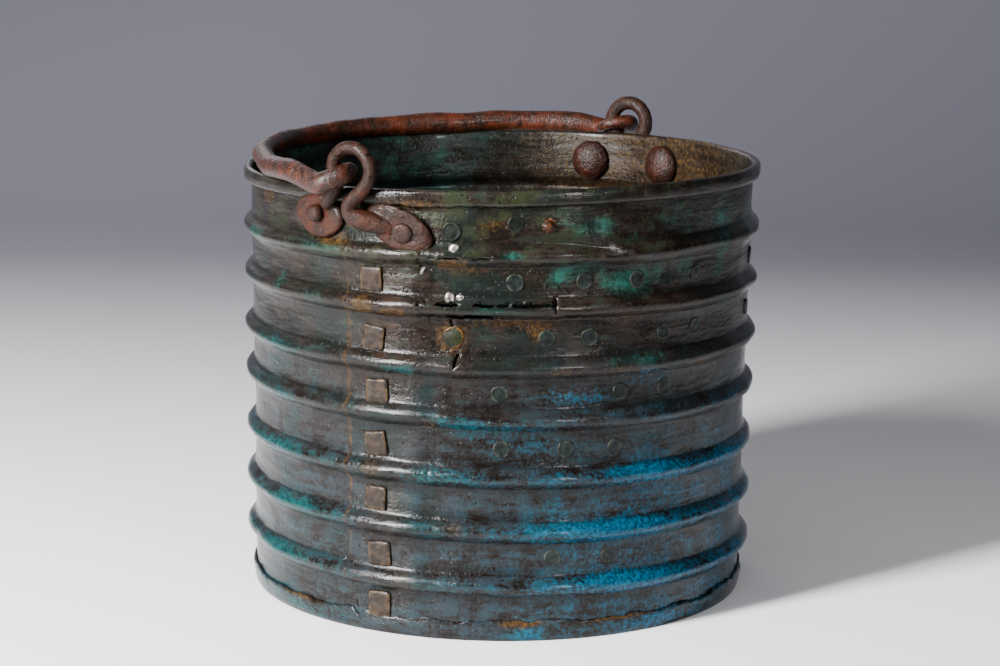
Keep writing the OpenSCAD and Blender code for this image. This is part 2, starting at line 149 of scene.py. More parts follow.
def dents(a, z):
    """How far hammering and knocks push the sheet outwards, in metres."""
    p = round_point(a, TOP_R, z)
    free = ramp(z, 4 * MM, 30 * MM)
    out = 0.55 * lattice_noise(p, 85 * MM, 1) + 0.34 * lattice_noise(p, 26 * MM, 2)
    out = out + 0.13 * lattice_noise(p, 9 * MM, 3)
    crest = rib_out(z) / RIB_PROUD
    out = out + crest * (0.34 * lattice_noise(p, 13 * MM, 4) - 0.1)
    # Fine creases that run round the sheet, from drawing it and from burial
    around = p * np.array([0.22, 0.22, 1.0])
    out = out + 0.34 * lattice_noise(around, 6.5 * MM, 12) + 0.16 * lattice_noise(around, 3.4 * MM, 13)
    # The lips of the long tear, the upper one standing out over the lower
    torn = ramp(a, 12, 18) * (1 - ramp(a, 48, 56)) * (0.7 + 0.5 * lattice_noise(p, 16 * MM, 14))
    past = z - 180.4 * MM
    out = out + 0.9 * torn * np.tanh(past / (0.4 * MM)) * np.exp(-abs(past) / (4 * MM))
    # The crease below the rim left by turning the hem
    out = out - 0.9 * np.exp(-(((z - 238 * MM) / (1.8 * MM)) ** 2))
    # Long wrinkles pressed into the top band beside the lug
    long_way = p * np.array([0.16, 0.16, 1.0]) + p[..., ::-1] * np.array([0.0, 0.0, 0.2])
    wrinkled = np.maximum(spot(a, z, 52, 222, 34, 13), 0.8 * spot(a, z, 17, 237, 30, 6))
    out = out + 2.8 * wrinkled * lattice_noise(long_way, 4.6 * MM, 5)
    # Knocks: bearing in degrees, then height, the width and height they fade over, and depth in millimetres
    for a0, z0, wide, tall, deep in (
        (-35, 64, 11, 3.5, 1.9), (-41, 35, 10, 4, 1.1), (-52, 214, 18, 7, 0.9),
        (47, 187, 14, 4, 1.1), (63, 91, 10, 5, 1.3), (73, 92, 7, 6, 1.0), (27, 183, 20, 5, 0.8),
        (86, 213, 20, 8, 1.3), (104, 184, 12, 6, 1.2), (98, 63, 9, 5, 1.4), (14, 211, 6, 6, 0.7),
        (150, 120, 30, 22, 1.5), (205, 62, 26, 12, 1.4), (238, 152, 22, 9, 1.6), (292, 95, 34, 18, 1.3),
        (262, 214, 16, 7, 1.2), (318, 31, 20, 8, 1.2), (172, 33, 14, 6, 1.4),
    ):
        out = out - deep * spot(a, z, a0, z0, wide, tall)
    return out * MM * (0.25 + 0.75 * free)


def lap_out(a):
    """How far the outer sheet stands off where it laps over the inner one."""
    return (SHEET + 0.05 * MM) * (1 - ramp(a, LAP_END - 4.5, LAP_END + 1.5))


def on_wall(a, z, depth):
    """A point on the settled wall's bands, depth out from the single sheet's outer face."""
    return settled(round_point(a, shell_r(z) + dents(a, z) + depth, z))


def columns():
    """Bearings of the strip's columns, closer together on the side that is damaged."""
    near = np.arange(LAP_START, 122, FINE_STEP)
    far = np.arange(near[-1] + PLAIN_STEP, 302, PLAIN_STEP)
    left = np.arange(far[-1] + FINE_STEP, 357, FINE_STEP)
    end = np.arange(left[-1] + PLAIN_STEP, 360 + LAP_END, PLAIN_STEP)
    return np.concatenate([near, far, left, end, [360 + LAP_END]])


# Horizontal tears: height, then pieces as first bearing, last bearing and gap in millimetres
TEARS = (
    (186.9, (
        (13.7, 14.9, 4.2), (17.2, 21.8, 2.4), (25.0, 29.4, 2.0), (30.0, 32.6, 2.2), (33.3, 39.2, 4.0),
        (39.6, 41.8, 2.8),
    )),
    (180.4, ((14.5, 17.4, 1.0), (20.0, 30.6, 2.8), (44.0, 47.6, 1.0), (49.2, 52.0, 0.9))),
    (212.6, ((15.4, 17.0, 1.2), (17.6, 22.4, 1.3), (24.6, 28.9, 1.4))),
)
# Upright cracks: points as bearing and height, and the widest gap in millimetres
CRACKS = (
    (((20.3, 179.0), (20.8, 176.4), (21.4, 174.2), (21.2, 171.5), (21.8, 169)), 1.6),
    (((22.0, 163.5), (22.3, 160.5), (21.8, 157.6), (21.7, 154.4), (21.3, 151.5)), 1.4),
    (((14.2, 213.0), (13.7, 210.4), (14.3, 208.6), (14.0, 205.8)), 1.0),
    (((42.5, 192.0), (42.7, 188.5), (42.3, 185.6), (42.6, 182.0)), 1.2),
    (((16.1, 93.5), (15.8, 91.2), (16.3, 88.8)), 0.7),
)


def strip_grid():
    """Bearings and heights of the strip's points, and which cells are whole."""
    rises = np.array([-7.0, -6.1, -4.4, -2.5, -0.8, 0.9, 2.7, 4.2, 5.7, 7.2]) * MM
    rows = [WALL_FOOT_Z, 7 * MM, 14 * MM, 19 * MM]
    for i in range(6, -1, -1):
        rows += list(RIB_Z[i] + rises)
        flat_end = RIB_Z[i - 1] + rises[0] if i > 0 else RIM_Z - HEM_H
        gaps = 3 if i > 0 else 4
        flat = np.linspace(RIB_Z[i] + rises[-1], flat_end, gaps + 1)[1:-1]
        rows += list(flat)
    for height, _ in TEARS:
        rows = [z for z in rows if abs(z - height * MM) > 0.75 * MM]
        rows += [(height - 0.5) * MM, (height + 0.5) * MM]
    rows = np.array(sorted(rows) + [RIM_Z - HEM_H, RIM_Z - HEM_H / 2 - 1.5 * MM, RIM_Z - HEM_W / 2])
    across = columns()
    a, z = np.meshgrid(across, rows)
    whole = np.ones((len(rows) - 1, len(across) - 1), bool)
    for height, pieces in TEARS:
        i = int(np.argmin(abs(rows - (height - 0.5) * MM)))
        for first, last, gap in pieces:
            j0, j1 = np.searchsorted(across, [first, last])
            for j in range(j0, j1 + 1):
                wander = 0.5 * lattice_noise(np.array([across[j] * 1.0, 0.3, height]), 0.9, 6)
                open_by = gap * (0.35 + 0.65 * math.sin(math.pi * (j - j0 + 0.5) / (j1 - j0 + 1)))
                jag = 0.3 * lattice_noise(np.array([across[j], 5.3, height]), 0.7, 7)
                z[i, j] = (height + wander - open_by * (0.5 + jag)) * MM
                z[i + 1, j] = (height + wander + open_by * (0.5 - jag)) * MM
            whole[i, j0:j1] = False
    for points, gap in CRACKS:
        path = np.array(points)
        j = int(np.searchsorted(across, path[:, 0].mean())) - 1
        heights = path[:, 1] * MM
        for i in range(len(rows)):
            here = np.interp(rows[i], heights[::-1], path[::-1, 0])
            near = ramp(rows[i], heights[-1] - 9 * MM, heights[-1])
            near = near * (1 - ramp(rows[i], heights[0], heights[0] + 9 * MM))
            shift = (here - (across[j] + across[j + 1]) / 2) * near
            a[i] += shift * np.exp(-(((across - across[j] - 0.35) / 2.5) ** 2))
            if heights[-1] <= rows[i] <= heights[0]:
                ends = min(rows[i] - heights[-1], heights[0] - rows[i]) / MM
                half = math.degrees(gap * MM / TOP_R) / 2 * min(1, 0.3 + ends / 3)
                a[i, j], a[i, j + 1] = here - half, here + half
        inside = (rows[:-1] >= heights[-1]) & (rows[1:] <= heights[0])
        whole[inside, j] = False
    # The lap's outer end is cut by eye, nibbled at each rib and torn back at the foot
    torn = np.interp(rows, np.array([0, 7, 11, 16, 40]) * MM, [4.6, 4.0, 2.6, 1.7, 0.2])
    edge = 0.22 * lattice_noise(np.stack([rows, rows, rows], -1), 7 * MM, 8)
    for k, fade in enumerate((1.0, 0.75, 0.5, 0.25)):
        a[:, k] += (torn + edge) * fade
    return a, z, whole


def hem_rows():
    """The rolled hem's rows, as steps out from the wall and up from its last row."""
    turn = (HEM_W - SHEET) / 2
    out, up = [], []
    for angle in (150, 115, 80, 45, 10):
        out.append(turn + turn * math.cos(math.radians(angle)))
        up.append(turn * math.sin(math.radians(angle)))
    low = HEM_H - HEM_W
    out += [2 * turn, 2 * turn]
    up += [-low * 0.45, -low]
    for angle in (-40, -85, -125):
        out.append(turn + turn * math.cos(math.radians(angle)))
        up.append(-low + turn * math.sin(math.radians(angle)))
    return out, up


def strip_points():
    """The middle of the sheet, as a grid of points, with its bearings and heights."""
    a, z, whole = strip_grid()
    radius = shell_r(z) - SHEET / 2 + rib_out(z) + dents(a, z)
    ends = np.where(a < 180, lap_out(a), 0.0)
    radius = radius + ends
    out, up = hem_rows()
    last_a, last_r, last_z = a[-1], radius[-1], z[-1]
    p = round_point(last_a, TOP_R, last_z * 0)
    # The hem is hammered unevenly, and frayed and pressed flat in front of the lug
    frayed = spot(last_a, last_z, 15, 246.5, 26, 60)
    wave = 0.35 * lattice_noise(p, 30 * MM, 9) + 0.18 * lattice_noise(p, 9 * MM, 10)
    for k, (dx, dz) in enumerate(zip(out, up)):
        fray = frayed * (lattice_noise(p, 5 * MM, 11) * 1.3 - 0.4) * ramp(k, 4, 9)
        a = np.vstack([a, last_a])
        flat = 1 - 0.35 * frayed * ramp(k, 3, 6)
        radius = np.vstack([radius, last_r + dx * flat + wave * MM * ramp(k, 0, 4)])
        z = np.vstack([z, last_z + dz + (wave * 0.4 + fray) * MM])
        whole = np.vstack([whole, np.ones((1, whole.shape[1]), bool)])
    return a, radius, z, whole


def grid_mesh(name, middle, whole, thick):
    """A closed sheet of a given thickness about a grid of points, with its missing cells cut out."""
    along = np.gradient(middle, axis=1)
    upward = np.gradient(middle, axis=0)
    normal = np.cross(along, upward)
    normal /= np.linalg.norm(normal, axis=-1, keepdims=True)
    outer = middle + normal * thick / 2
    inner = middle - normal * thick / 2
    high, wide = middle.shape[:2]
    index = np.arange(high * wide).reshape(high, wide)
    back = index + high * wide
    faces = []
    for i, j in zip(*np.nonzero(whole)):
        faces.append((index[i, j], index[i, j + 1], index[i + 1, j + 1], index[i + 1, j]))
        faces.append((back[i, j], back[i + 1, j], back[i + 1, j + 1], back[i, j + 1]))
    edged = np.pad(whole, 1)
    for i, j in zip(*np.nonzero(whole)):
        sides = (
            (edged[i, j + 1], (i, j), (i, j + 1)), (edged[i + 1, j + 2], (i, j + 1), (i + 1, j + 1)),
            (edged[i + 2, j + 1], (i + 1, j + 1), (i + 1, j)), (edged[i + 1, j], (i + 1, j), (i, j)),
        )
        for kept, p, q in sides:
            if not kept:
                faces.append((index[q], index[p], back[p], back[q]))
    points = np.concatenate([outer.reshape(-1, 3), inner.reshape(-1, 3)])
    mesh = bpy.data.meshes.new(name)
    mesh.from_pydata(points.tolist(), [], [tuple(int(v) for v in f) for f in faces])
    return mesh


def tidy_mesh(mesh):
    """Drops loose points and shades the mesh smooth."""
    bm = bmesh.new()
    bm.from_mesh(mesh)
    bmesh.ops.delete(bm, geom=[v for v in bm.verts if not v.link_faces], context="VERTS")
    bmesh.ops.recalc_face_normals(bm, faces=bm.faces)
    bm.to_mesh(mesh)
    bm.free()
    mesh.polygons.foreach_set("use_smooth", [True] * len(mesh.polygons))
    mesh.update()


def add_values(mesh, **values):
    """Stores named values, one for each point of the mesh, for its material to read."""
    for name, value in values.items():
        layer = mesh.attributes.new(name, "FLOAT", "POINT")
        layer.data.foreach_set("value", np.asarray(value, np.float32).ravel())


def ring_faces(rings, count):
    """Quads that join each ring of count points to the next ring."""
    faces = []
    for k in range(rings - 1):
        for j in range(count):
            n = (j + 1) % count
            faces.append((k * count + j, k * count + n, (k + 1) * count + n, (k + 1) * count + j))
    return faces


def mesh_points(mesh):
    """The mesh's points as rows of x, y and z."""
    co = np.zeros(len(mesh.vertices) * 3)
    mesh.vertices.foreach_get("co", co)
    return co.reshape(-1, 3)


def patina_values(a, z, inside):
    """How strongly each kind of patina and staining has taken at each bearing and height, and where dirt and
    painted shade darken it.
    """
    a, z = np.ravel(a), np.ravel(z)
    a = (a + 100) % 360 - 100
    crest = rib_out(z) / RIB_PROUD
    inside = np.broadcast_to(np.ravel(inside), a.shape).astype(float)
    # Blue-green runs strong round the lower half, and stronger towards the right
    low = 1 - ramp(z, 60 * MM, 190 * MM)
    right = ramp(a, 8, 62) * (1 - ramp(a, 100, 200))
    haze = low * (0.5 + 0.5 * right) + 0.12 - 0.3 * spot(a, z, 5, 90, 16, 80)
    blue = low * (0.12 + 0.16 * right) + 0.14 * crest * low
    blue = blue + 0.08 * ramp(-a, 3, 6) * low
    # Patches, here and below: bearing, height, the width and height they fade over, and strength
    for a0, z0, wide, tall, much in (
        (66, 92, 25, 6, 0.6), (58, 62, 27, 6, 0.5), (60, 33, 26, 5, 0.5), (22, 122, 16, 6, 0.4),
        (-30, 122, 34, 4, 0.4), (-30, 92, 36, 4, 0.36), (-22, 62, 30, 4, 0.28), (-30, 32, 32, 4, 0.28),
        (-26, 151, 28, 5, 0.6), (20, 92, 22, 5, 0.3), (32, 119, 30, 5, 0.5), (96, 90, 30, 18, 0.2),
        (10, 150, 18, 3.5, 0.55), (46, 136, 26, 7, 0.4), (34, 108, 30, 7, 0.35), (-22, 139, 22, 5, 0.4),
        (66, 146, 20, 6, 0.35), (38, 4, 7, 5, 0.5), (-22, 4, 30, 4, 0.4), (70, 5, 24, 5, 0.35),
        (150, 60, 60, 40, 0.3), (230, 80, 60, 50, 0.25),
    ):
        blue = blue + 0.7 * much * spot(a, z, a0, z0, wide, tall)
    # Pale turquoise crusts on the upper right
    crust = np.zeros(len(a))
    for a0, z0, wide, tall, much in (
        (47, 205, 16, 5, 0.9), (43, 201, 7, 6, 0.8), (60, 199, 15, 9, 1.0), (66, 204, 8, 5, 0.8),
        (74, 205, 8, 7, 0.8), (88, 206, 8, 10, 0.75), (52, 228, 14, 6, 0.75), (46, 233, 12, 5, 0.55),
        (60, 222, 7, 4, 0.7), (33, 214, 6, 2.4, 0.9), (30, 185, 6, 3, 0.7), (90, 180, 8, 9, 0.5),
        (-25, 193, 6, 6, 0.75), (-38, 212, 10, 4, 0.45), (-36, 240, 18, 4, 0.45), (72, 226, 26, 12, 0.5),
        (90, 228, 22, 12, 0.6), (106, 222, 16, 14, 0.6),
        (62, 156, 22, 4, 0.5), (58, 128, 6, 4, 0.4), (200, 210, 50, 25, 0.55), (250, 180, 50, 30, 0.4),
    ):
        crust = np.maximum(crust, 0.72 * much * spot(a, z, a0, z0, wide * 1.35, tall * 1.25))
    crust = crust + 0.22 * (a < -4) * crest * (1 - low) * (1 - inside)
    # Ochre and rust: run-off below the iron, round the cracks, along the foot and the lap's edge
    stain = np.zeros(len(a))
    for a0, z0, wide, tall, much in (
        (-7, 219, 14, 4, 0.8), (21, 209, 11, 5, 0.75), (-33, 238, 12, 7, 0.9), (12, 221, 20, 4, 0.5),
        (20.5, 168, 9, 10, 0.95), (39, 172, 7, 6, 0.7), (1, 184, 8, 5, 0.9), (8, 66, 14, 30, 0.35),
        (10, 30, 14, 20, 0.4), (8, 182, 12, 4, 0.7), (36, 178, 40, 2.5, 0.75),
        (60, 178, 24, 3, 0.6), (25, 206, 20, 3, 0.6), (12, 240, 22, 5, 0.7), (30, 229, 14, 5, 0.55),
        (58, 151, 14, 3, 0.5), (80, 149, 12, 3, 0.6), (44, 151, 12, 3, 0.5), (16.5, 120, 8, 5, 0.5),
        (22, 62, 8, 8, 0.45), (3, 92, 9, 6, 0.5), (36, 10, 16, 2.5, 0.95), (60, 10, 40, 2.2, 0.75),
        (-18, 10.5, 26, 2.5, 0.7), (150, 246, 60, 7, 0.6), (100, 122, 14, 5, 0.5), (50, 150, 60, 3, 0.35),
    ):
        stain = np.maximum(stain, much * spot(a, z, a0, z0, wide, tall))
    for rib in RIB_Z:
        stain = np.maximum(stain, 0.42 * spot(a, z, LAP_START, rib / MM - 4, 3, 16))
    stain = np.maximum(stain, 0.6 * spot(a, z, LAP_START + 0.2, 120, 2.4, 130))
    # Inside: teal on the left, ochre and brown near the rear lug
    ochre_side = ramp(a, 95, 165) * (1 - ramp(a, 185, 232)) * inside
    stain = np.where(inside > 0.5, 0.12 + 0.42 * ochre_side, stain)
    blue = np.where(inside > 0.5, 0.05 + 0.12 * ramp(a, 190, 260), blue)
    crust = np.where(inside > 0.5, 0.10 + 0.24 * (1 - ochre_side) * ramp(z, 150 * MM, 235 * MM), crust)
    haze = np.where(inside > 0.5, 0.25, haze)
    olive = ramp(z, 190 * MM, 225 * MM) * (1 - ramp(a, 60, 90))
    # Painted shade: a dark line in the crease below each rib's crest, and a fainter one where its upper slope
    # meets the band above
    dirt_and_shade = sum(spot(a, z, a, (rib / MM - 6.6), 1, 1.0) for rib in RIB_Z)
    dirt_and_shade = dirt_and_shade + 0.8 * sum(spot(a, z, a, (rib / MM + 6.3), 1, 1.6) for rib in RIB_Z)
    # Painted shadow: a dark band just under the rolled hem
    dirt_and_shade = dirt_and_shade + 0.9 * ramp(z, 236 * MM, 239 * MM) * (1 - ramp(z, 239.6 * MM, 240.6 * MM))
    # Painted shade along the crease that the tears under the second rib run along, and along a short line
    # below the first rib
    dirt_and_shade = dirt_and_shade + 0.9 * spot(a, z, 33, 179.5, 34, 1.3) + 0.6 * spot(a, z, 26, 206.5, 16, 1.2)
    # Painted shade on the left side of the upper bands, and a darker zone in the middle ones
    shade = ramp(-a, 8, 26) * (1 - ramp(-a, 80, 95)) * (0.25 + 0.75 * ramp(z, 110 * MM, 190 * MM))
    dirt_and_shade = dirt_and_shade + (1 - inside) * (0.75 * shade + 0.3 * spot(a, z, 40, 108, 60, 30))
    # Painted shade on the inside of the far wall
    dirt_and_shade = dirt_and_shade + 0.5 * inside * ramp(a, 192, 208) * (1 - ramp(a, 222, 245))
    # and the line along the foot where the base's folded edge ends
    dirt_and_shade = dirt_and_shade + 0.8 * spot(a, z, -32, 11.6, 70, 1.1) + 0.6 * spot(a, z, 72, 11.6, 50, 1.1)
    # Painted shade along every tear
    for height, pieces in TEARS:
        for first, last, _ in pieces:
            middle, wide = (first + last) / 2, math.radians(last - first) / 2 * TOP_R / MM + 2
            dirt_and_shade = dirt_and_shade + 0.7 * spot(a, z, middle, height, wide, 1.6)
    return {"blue": blue, "azure": right, "haze": np.clip(haze, 0, 1), "crust": crust, "stain": stain,
            "olive": olive, "dirt_and_shade": np.clip(dirt_and_shade, 0, 1), "inside": inside}


def piece_of(name, mesh, material, body, slot, *nodes):
    """Puts a mesh in the scene as a piece that rides on a body and stands for its CAD nodes."""
    mesh.materials.append(material)
    piece = bpy.data.objects.new(name, mesh)
    bpy.context.scene.collection.objects.link(piece)
    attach(piece, body)
    if nodes:
        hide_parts(*nodes)


def hex_colour(code):
    """An sRGB hex colour as linear values for a shader socket."""
    parts = [int(code[i:i + 2], 16) / 255 for i in (1, 3, 5)]
    return tuple(c / 12.92 if c <= 0.04045 else ((c + 0.055) / 1.055) ** 2.4 for c in parts) + (1.0,)


def add_node(tree, kind, sockets, out=0, **settings):
    """Adds one shader node with its settings and links, and returns one of its outputs.

    A socket takes a number, a colour's hex code or the output that feeds it.
    """
    node = tree.nodes.new("ShaderNode" + kind)
    for key, value in settings.items():
        setattr(node, key, value)
    for key, value in sockets.items():
        if isinstance(value, bpy.types.NodeSocket):
            tree.links.new(value, node.inputs[key])
        elif isinstance(value, str):
            node.inputs[key].default_value = hex_colour(value)
        else:
            node.inputs[key].default_value = value
    return node.outputs[out] if node.outputs else None


def new_material(name):
    """An empty material and its node tree."""
    material = bpy.data.materials.new(name)
    material.use_nodes = True
    tree = material.node_tree
    tree.nodes.clear()
    return material, tree


def noises(tree, *fields):
    """Noise over a piece's own surface. Each field is the size in millimetres of its largest
    features, its detail, its roughness, and how many times as long as high it is drawn out."""
    place = add_node(tree, "TexCoord", {}, "Object")
    found = []
    for size, detail, rough, drawn in fields:
        where = place
        if drawn > 1:
            where = add_node(tree, "Mapping", {"Vector": place, "Scale": (1 / drawn, 1 / drawn, 1.0)})
        found.append(add_node(tree, "TexNoise", {
            "Vector": where, "Scale": 1 / (size * MM), "Detail": detail, "Roughness": rough,
        }, "Fac"))
    return found


def weighted(tree, start, *shares):
    """A start value plus several fields, each times its share."""
    total = start
    for field, share in shares:
        total = add_node(tree, "Math", {0: field, 1: share, 2: total}, operation="MULTIPLY_ADD")
    return total


def lay_over(tree, colour, *layers):
    """Lays paints over a colour, each as its field rises from low to high, up to its strength."""
    for field, low, high, strength, paint in layers:
        taken = add_node(tree, "MapRange", {
            "Value": field, "From Min": low, "From Max": high, "To Max": strength,
        }, interpolation_type="SMOOTHSTEP")
        colour = add_node(tree, "Mix", {"Factor": taken, 6: colour, 7: paint}, 2, data_type="RGBA")
    return colour


def finish_surface(tree, sockets):
    """Ends a material with one shader that feeds the surface."""
    shader = add_node(tree, "BsdfPrincipled", sockets)
    add_node(tree, "OutputMaterial", {"Surface": shader})


def bronze_patina(name):
    """Tin bronze under a waxed patina: near-black brown and olive, with blue-green and crusts, and painted
    shade in its creases and inside.
    """
    material, tree = new_material(name)
    # The streaks and the hammering run round the sheet, five times as long as high
    broad, mottle, streak, grain, pricks, flecks, hammered = noises(
        tree, (46, 4.0, 0.6, 1), (12, 6.0, 0.68, 1), (4.0, 5.0, 0.65, 5), (2.2, 4.0, 0.65, 1),
        (2.6, 2.0, 0.5, 1), (1.3, 2.0, 0.5, 1), (9.0, 2.0, 0.5, 5),
    )
    blue_here, azure_here, haze, crust, stain, olive, dirt_and_shade, inside = (
        add_node(tree, "Attribute", {}, "Fac", attribute_name=key)
        for key in ("blue", "azure", "haze", "crust", "stain", "olive", "dirt_and_shade", "inside")
    )
    both = weighted(tree, 0.0, (mottle, 0.4), (streak, 0.36), (grain, 0.24))
    # Patches take where the noise and the stored strength together pass a threshold
    fine = weighted(tree, -0.12, (broad, 0.45), (both, 1.0), (grain, 0.34))
    blue_take, green_take, rust_take = (
        weighted(tree, fine, (patch, 1.0)) for patch in (blue_here, crust, stain)
    )
    teal = lay_over(tree, "#052427", (grain, 0.35, 0.65, 1.0, "#073a3a"))
    azure = lay_over(tree, "#042938", (grain, 0.35, 0.65, 1.0, "#074a64"))
    blue = add_node(tree, "Mix", {"Factor": azure_here, 6: teal, 7: azure}, 2, data_type="RGBA")
    green = lay_over(tree, "#072b26", (mottle, 0.42, 0.6, 1.0, "#184f45"))
    rust = lay_over(tree, "#231609", (grain, 0.40, 0.66, 1.0, "#453013"))
    # Browns and olives first, a thin grey-green haze over the lower half, then the crusts
    colour = lay_over(
        tree, "#0e0b09",
        (both, 0.40, 0.60, 1.0, "#27190f"), (broad, 0.46, 0.62, 1.0, "#121511"),
        (streak, 0.54, 0.68, 1.0, "#1f221a"), (mottle, 0.48, 0.62, olive, "#212412"),
        (both, 0.42, 0.57, weighted(tree, 0.0, (haze, 0.85)), "#132d37"),
        (blue_take, 0.98, 1.34, 1.0, blue), (green_take, 0.96, 1.5, 1.0, green),
        (rust_take, 1.02, 1.5, 1.0, rust),
    )
    # The stored dirt and painted shade and the pin-prick pits darken the colour, then painted shade darkens
    # the whole inside
    pits = add_node(tree, "MapRange", {"Value": pricks, "From Min": 0.63, "From Max": 0.72},
                    interpolation_type="SMOOTHSTEP")
    dark = add_node(tree, "Math", {0: dirt_and_shade, 1: 0.75, 2: pits}, operation="MULTIPLY_ADD", use_clamp=True)
    for darkening, much, paint in ((dark, 0.8, "#080706"), (inside, 0.3, "#0b0906")):
        share = weighted(tree, 0.0, (darkening, much))
        colour = add_node(tree, "Mix", {"Factor": share, 6: colour, 7: paint}, 2, data_type="RGBA")
    colour = lay_over(tree, colour, (flecks, 0.68, 0.76, 0.3, "#6a6250"))
    # The wax shines on the bare patina and goes dull on the crusts
    crusted = add_node(tree, "Math", {0: green_take, 1: rust_take}, operation="MAXIMUM")
    dull = add_node(tree, "MapRange", {"Value": crusted, "From Min": 1.1, "From Max": 1.5},
                    interpolation_type="SMOOTHSTEP")
    rough = weighted(tree, 0.06, (mottle, 0.26), (dull, 0.2), (inside, 0.08))
    relief = weighted(
        tree, 0.0, (mottle, 0.5), (streak, 0.5), (hammered, 0.7), (grain, 0.2), (pits, -0.15),
    )
    bump = add_node(tree, "Bump", {"Height": relief, "Strength": 0.9, "Distance": 1.3 * MM})
    finish_surface(tree, {
        "Base Color": colour, "Roughness": rough, "Metallic": 0.05, "Normal": bump,
        "Specular IOR Level": 0.15, "Coat Weight": 0.07, "Coat Roughness": 0.05,
    })
    return material


wall_bronze = bronze_patina("waxed_bronze_patina")
a_grid, r_grid, z_grid, whole_cells = strip_points()
wall_mesh = grid_mesh("wall_strip", settled(round_point(a_grid, r_grid, z_grid)), whole_cells, SHEET)
# Past the turn of the hem, after its first row, the sheet's inner face is the one outside
turned_rows = len(hem_rows()[0]) - 1
behind = np.where(np.arange(len(a_grid)) < len(a_grid) - turned_rows, 1.0, 0.0)[:, None] + 0 * a_grid
faces_in = np.concatenate([0 * a_grid.ravel(), behind.ravel()])
add_values(wall_mesh, **patina_values(np.tile(a_grid.ravel(), 2), np.tile(z_grid.ravel(), 2), faces_in))
tidy_mesh(wall_mesh)
piece_of("wall_strip", wall_mesh, wall_bronze, "bucket", "bronze_sheet", "wall")


# ---------------------------------------------------------------------------
# The base
# A disc of the same sheet, its edge folded up round the foot of the wall and
# hammered close. The fold's top edge is ragged and crusted with ochre dirt.
# ---------------------------------------------------------------------------
LIP_H = 11.0 * MM
LIP_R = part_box("base_pan")[1].x


def base_mesh():
    """The disc and its folded edge, turned from one section and then hammered out of true."""
    count = 420
    a = np.arange(count) * 360 / count
    ring = round_point(a, LIP_R, 0.0)
    ragged = 1.3 * lattice_noise(ring, 11 * MM, 20) + 0.8 * lattice_noise(ring, 3.5 * MM, 21)
    # The fold is torn down beside the lap
    ragged = ragged - 5.0 * spot(a, 0 * a, -1.2, 0, 2.2, 9) - 1.8 * spot(a, 0 * a, 38, 0, 3, 9)
    press = 0.45 * lattice_noise(ring, 14 * MM, 22) + 0.3 * lattice_noise(ring, 5 * MM, 23)
    # It was beaten flat across the front and stands proud on both sides of that
    turn = (a + 180) % 360 - 180
    press = press + 1.1 * np.maximum(ramp(-turn, 2, 9), ramp(turn, 58, 72)) - 0.35
    top = LIP_H + ragged * MM
    wall_r = FOOT_R + 0.15 * MM
    section = [
        (wall_r - 1.6 * MM + 0 * a, 1.0 * MM + 0 * a), (wall_r - 0.6 * MM + 0 * a, 1.05 * MM + 0 * a),
        (wall_r + 0 * a, top * 0.4), (wall_r + 0.05 * MM + 0 * a, top - 0.4 * MM),
        (LIP_R - 0.5 * MM + press * 0.6 * MM, top), (LIP_R - 0.05 * MM + press * MM, top - 0.7 * MM),
        (LIP_R + (press * 0.9 + 0.15) * MM, top * 0.78), (LIP_R + (press * 0.35 + 0.1) * MM, top * 0.5),
        (LIP_R + (press * 0.2 - 0.1) * MM, top * 0.25), (LIP_R - 0.5 * MM + 0 * a, 0.35 * MM + 0 * a),
        (LIP_R - 1.4 * MM + 0 * a, 0 * a),
    ]
    rings = [round_point(a, r, z) for r, z in section]
    under = [round_point(a, LIP_R * share, 0.0) for share in (0.75, 0.5, 0.25)]
    inner = []
    for share in (0.25, 0.5, 0.75, 0.92):
        at = round_point(a, wall_r * share, 0.0)
        at[:, 2] = 1.0 * MM + 0.22 * MM * lattice_noise(at, 30 * MM, 24) * (1 - share**4)
        inner.append(at)
    rings = inner + rings + under
    points = [tuple(p) for ring_points in rings for p in ring_points]
    faces = ring_faces(len(rings), count)
    last = (len(rings) - 1) * count
    points += [(0, 0, 1.0 * MM), (0, 0, 0)]
    for j in range(count):
        n = (j + 1) % count
        faces.append((len(points) - 2, n, j))
        faces.append((len(points) - 1, last + j, last + n))
    mesh = bpy.data.meshes.new("base_fold")
    mesh.from_pydata(points, [], faces)
    return mesh


base_fold = base_mesh()
base_points = mesh_points(base_fold)
base_a = np.degrees(np.arctan2(base_points[:, 1], base_points[:, 0])) - 180
base_in = np.hypot(base_points[:, 0], base_points[:, 1]) < FOOT_R - 0.5 * MM
add_values(base_fold, **patina_values(base_a, base_points[:, 2], base_in))
tidy_mesh(base_fold)
piece_of("base_fold", base_fold, wall_bronze, "bucket", "bronze_sheet", "base_pan")


# ---------------------------------------------------------------------------
# The repair plates
# Three plates of sheet riveted inside over cracked stretches of the wall.
# They bridge the hollow backs of the ribs and follow the wall's own dents.
# ---------------------------------------------------------------------------
def node_span(node):
    """The bearings and heights that a CAD node spans, as first, last, low and high."""
    co = mesh_points(frame["nodes"][node].data)
    a = np.degrees(np.arctan2(co[:, 1], co[:, 0])) - 180
    a = (a + 100) % 360 - 100
    return a.min(), a.max(), co[:, 2].min(), co[:, 2].max()


